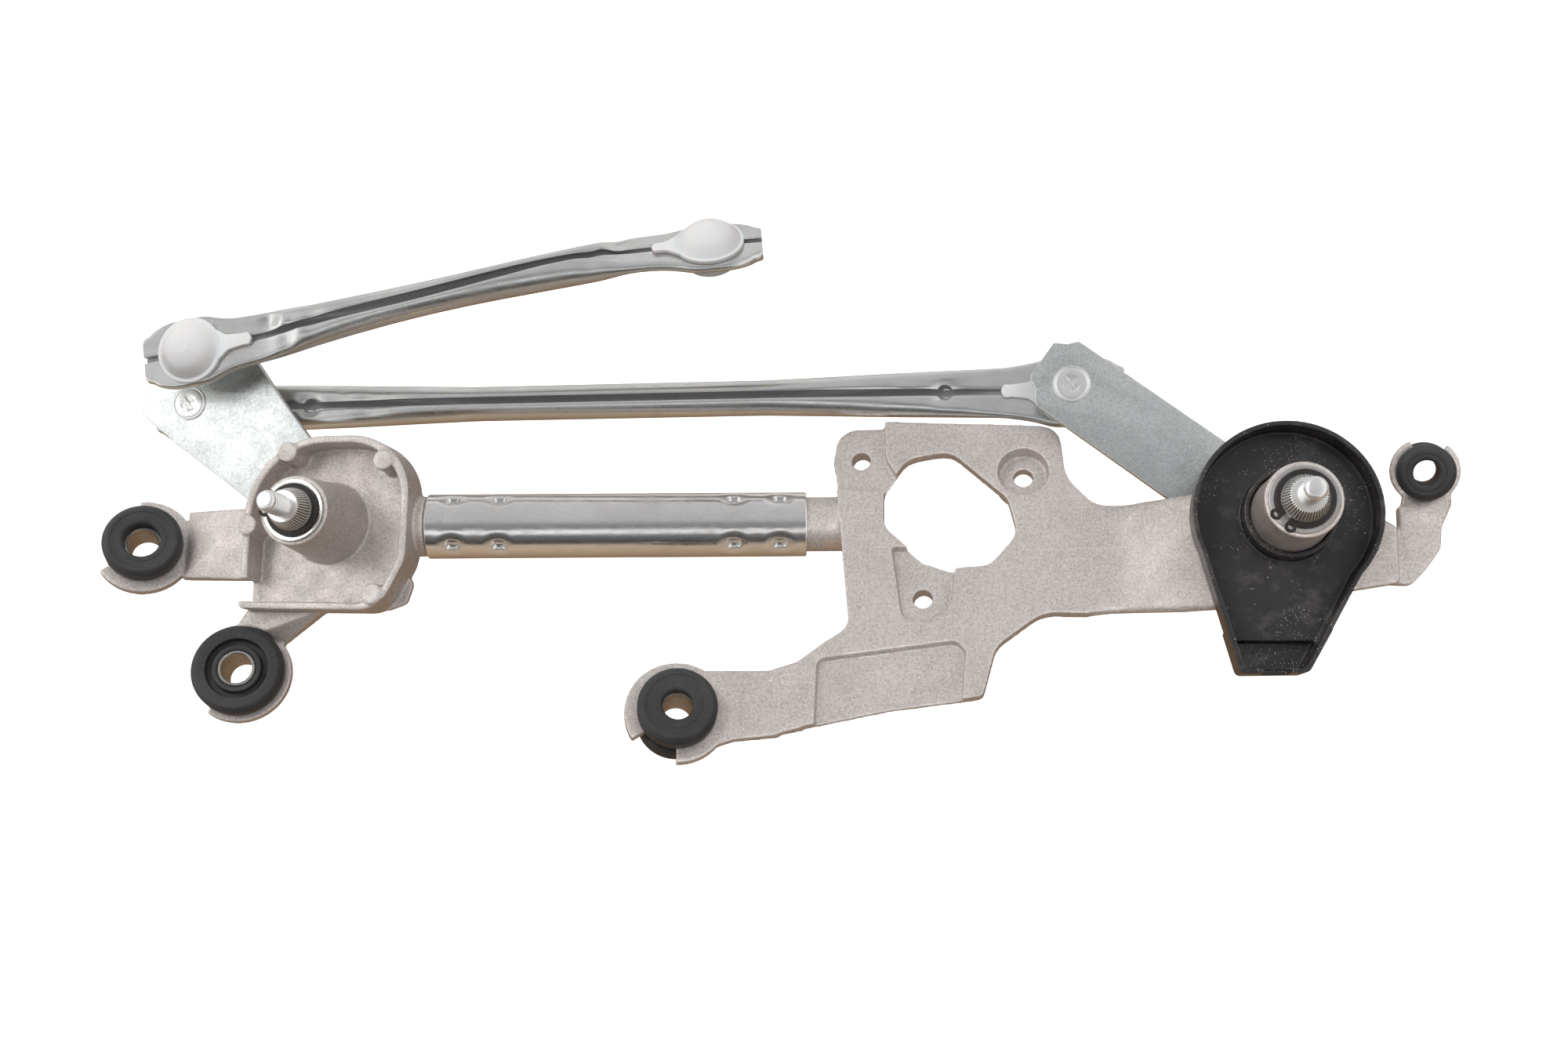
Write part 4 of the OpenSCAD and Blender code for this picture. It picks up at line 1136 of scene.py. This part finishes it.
# what shiny parts see, by angle from +Y over the top to -Y (0 = straight down)
ang = kw.math("ARCTAN2", DZ, DY)
ang = kw.math("FRACT", kw.math("ADD", kw.math("DIVIDE", ang, 2 * math.pi), 0.25 + 1.0))
sky = ramp_of(ang, [
    (0.0, (0.28, 0.18, 0.11)), (0.085, (0.24, 0.17, 0.13)), (0.135, (0.80, 0.78, 0.76)), (0.25, (0.86, 0.86, 0.86)),
    (0.285, (0.66, 0.66, 0.66)), (0.40, (0.60, 0.60, 0.61)), (0.475, (0.56, 0.56, 0.57)), (0.513, (0.30, 0.30, 0.31)),
    (0.552, (0.24, 0.24, 0.25)), (0.572, (1.05, 1.05, 1.05)), (0.596, (1.0, 1.0, 1.0)), (0.618, (0.20, 0.20, 0.20)),
    (0.70, (0.06, 0.055, 0.05)), (0.73, (0.60, 0.48, 0.37)), (0.81, (0.50, 0.38, 0.27)), (0.94, (0.30, 0.19, 0.11)), (1.0, (0.28, 0.18, 0.11))])
# large lamp high on the left
lampx = kw.rng(DX, -0.30, -0.44, 0.0, 1.0, True)
lampz = kw.rng(DZ, 0.45, 0.62, 0.0, 1.0, True)
lamp = kw.math("MULTIPLY", lampx, lampz)
sky = kw.mix(kw.math("MULTIPLY", lamp, 0.6), sky, (0.95, 0.95, 0.95))
# bright cards beyond both ends catch the slopes that face along the rods
card_l = kw.math("MULTIPLY", kw.rng(DX, -0.64, -0.78, 0.0, 1.0, True), kw.rng(DZ, 0.10, 0.25, 0.0, 1.0, True))
card_r = kw.math("MULTIPLY", kw.rng(DX, 0.34, 0.52, 0.0, 1.0, True), kw.rng(DZ, 0.15, 0.35, 0.0, 1.0, True))
sky = kw.mix(card_l, sky, (1.5, 1.5, 1.5))
sky = kw.mix(kw.math("MULTIPLY", card_r, 0.8), sky, (1.25, 1.25, 1.25))
soft_sky = ramp_of(kw.rng(DZ, -1.0, 1.0, 0.0, 1.0), [
    (0.0, (0.20, 0.15, 0.12)), (0.45, (0.26, 0.23, 0.21)), (0.55, (0.40, 0.39, 0.38)), (0.75, (0.62, 0.62, 0.62)), (1.0, (0.85, 0.85, 0.86))])
lp = kw.node("ShaderNodeLightPath")
bg_gloss = kw.node("ShaderNodeBackground")
kw.link(sky, bg_gloss.inputs["Color"])
bg_gloss.inputs["Strength"].default_value = 1.0
bg_soft = kw.node("ShaderNodeBackground")
# the room is brighter on the far side (+Y) than towards the viewer
soft_sky = kw.mix(1.0, soft_sky, kw.mix(kw.rng(DY, -0.7, 0.7, 0.0, 1.0, True), (0.52, 0.50, 0.49), (1.22, 1.22, 1.22)), "MULTIPLY")
kw.link(soft_sky, bg_soft.inputs["Color"])
bg_soft.inputs["Strength"].default_value = 0.68
bg_cam = kw.node("ShaderNodeBackground")
bg_cam.inputs["Color"].default_value = (0.98, 0.98, 0.98, 1)
mx = kw.node("ShaderNodeMixShader")
kw.link(lp.outputs["Is Glossy Ray"], mx.inputs[0])
kw.link(bg_soft.outputs[0], mx.inputs[1])
kw.link(bg_gloss.outputs[0], mx.inputs[2])
mx2 = kw.node("ShaderNodeMixShader")
kw.link(lp.outputs["Is Camera Ray"], mx2.inputs[0])
kw.link(mx.outputs[0], mx2.inputs[1])
kw.link(bg_cam.outputs[0], mx2.inputs[2])
wo = kw.node("ShaderNodeOutputWorld")
kw.link(mx2.outputs[0], wo.inputs["Surface"])


def area(name, loc, target, size, power, color=(1, 1, 1), size_y=None):
    li = bpy.data.lights.new(name, "AREA")
    li.energy = power
    li.color = color
    li.size = size
    if size_y:
        li.shape = "RECTANGLE"
        li.size_y = size_y
    ob = bpy.data.objects.new(name, li)
    bpy.context.scene.collection.objects.link(ob)
    ob.location = loc
    d = Vector(target) - Vector(loc)
    ob.rotation_euler = d.to_track_quat("-Z", "Y").to_euler()
    return ob


area("key", (-0.35, 0.72, 0.95), (0.1, 0.0, -0.04), 0.30, 9.0, (1.0, 0.985, 0.97))
area("fill_right", (1.0, 0.2, 0.9), (0.2, 0.0, -0.04), 0.5, 2.5, (0.97, 0.985, 1.0))

for li in [o for o in bpy.data.objects if o.type == "LIGHT"]:
    li.visible_glossy = False
cast_light = area("cast_key", (-0.50, 0.22, 0.92), (0.02, 0.0, -0.04), 0.35, 1.8, (1.0, 0.985, 0.97))
matt = bpy.data.collections.new("cast_receivers")
for nm in ("left_housing_cast", "left_grommet_moulded", "middle_grommet_moulded", "right_grommet_moulded",
           "lower_left_grommet_moulded", "splash_cover_mould", "left_spindle_turned", "right_spindle_turned",
           "left_top_washer_pressed", "right_top_washer_pressed"):
    matt.objects.link(bpy.data.objects[nm])
cast_light.light_linking.receiver_collection = matt
plate_lights = [area("bracket_side", (-0.55, 0.40, 0.95), (0.3, 0.0, -0.04), 0.5, 0.5, (1.0, 0.985, 0.97)),
                area("bracket_front", (0.289, -0.333, 1.0), (0.39, 0.016, -0.04), 0.35, 2.2, (1.0, 0.98, 0.97))]
plates = bpy.data.collections.new("plate_receivers")
plates.objects.link(bpy.data.objects["right_bracket_cast"])
for li in plate_lights:
    li.light_linking.receiver_collection = plates
turned_light = area("turned_key", (-0.50, 0.50, 0.70), (0.17, 0.0, 0.0), 0.4, 2.6)
turned = bpy.data.collections.new("turned_receivers")
for nm in ("left_spindle_turned", "right_spindle_turned", "left_top_washer_pressed", "right_top_washer_pressed", "lower_left_sleeve_turned"):
    turned.objects.link(bpy.data.objects[nm])
turned_light.light_linking.receiver_collection = turned
# softbox whose mirror image fills the left lever
lever = bpy.data.objects["left_lever_pressed"]
box_light = area("lever_softbox", (-0.066 - 0.487 * 0.9, 0.045 + 0.207 * 0.9, -0.05 + 0.848 * 0.9), (-0.05, 0.045, -0.059), 0.62, 1.15)
only = bpy.data.collections.new("softbox_receivers")
only.objects.link(lever)
only.objects.link(bpy.data.objects["left_tie_stud_swaged"])
box_light.light_linking.receiver_collection = only

cam_data = bpy.data.cameras.new("camera")
cam_data.lens = 36.0
cam_data.sensor_width = 36.0
cam_data.sensor_fit = "HORIZONTAL"
cam_data.clip_start = 0.01
cam_data.clip_end = 20.0
cam = bpy.data.objects.new("camera", cam_data)
bpy.context.scene.collection.objects.link(cam)
rm = Matrix(((0.98873, 0.00908, 0.14942), (0.01445, 0.98772, -0.15559), (-0.149, 0.156, 0.97645))).to_4x4()
cam.matrix_world = Matrix.Translation((0.25477, -0.08818, 0.50691)) @ rm
bpy.context.scene.camera = cam
bpy.context.scene.view_settings.view_transform = "Standard"

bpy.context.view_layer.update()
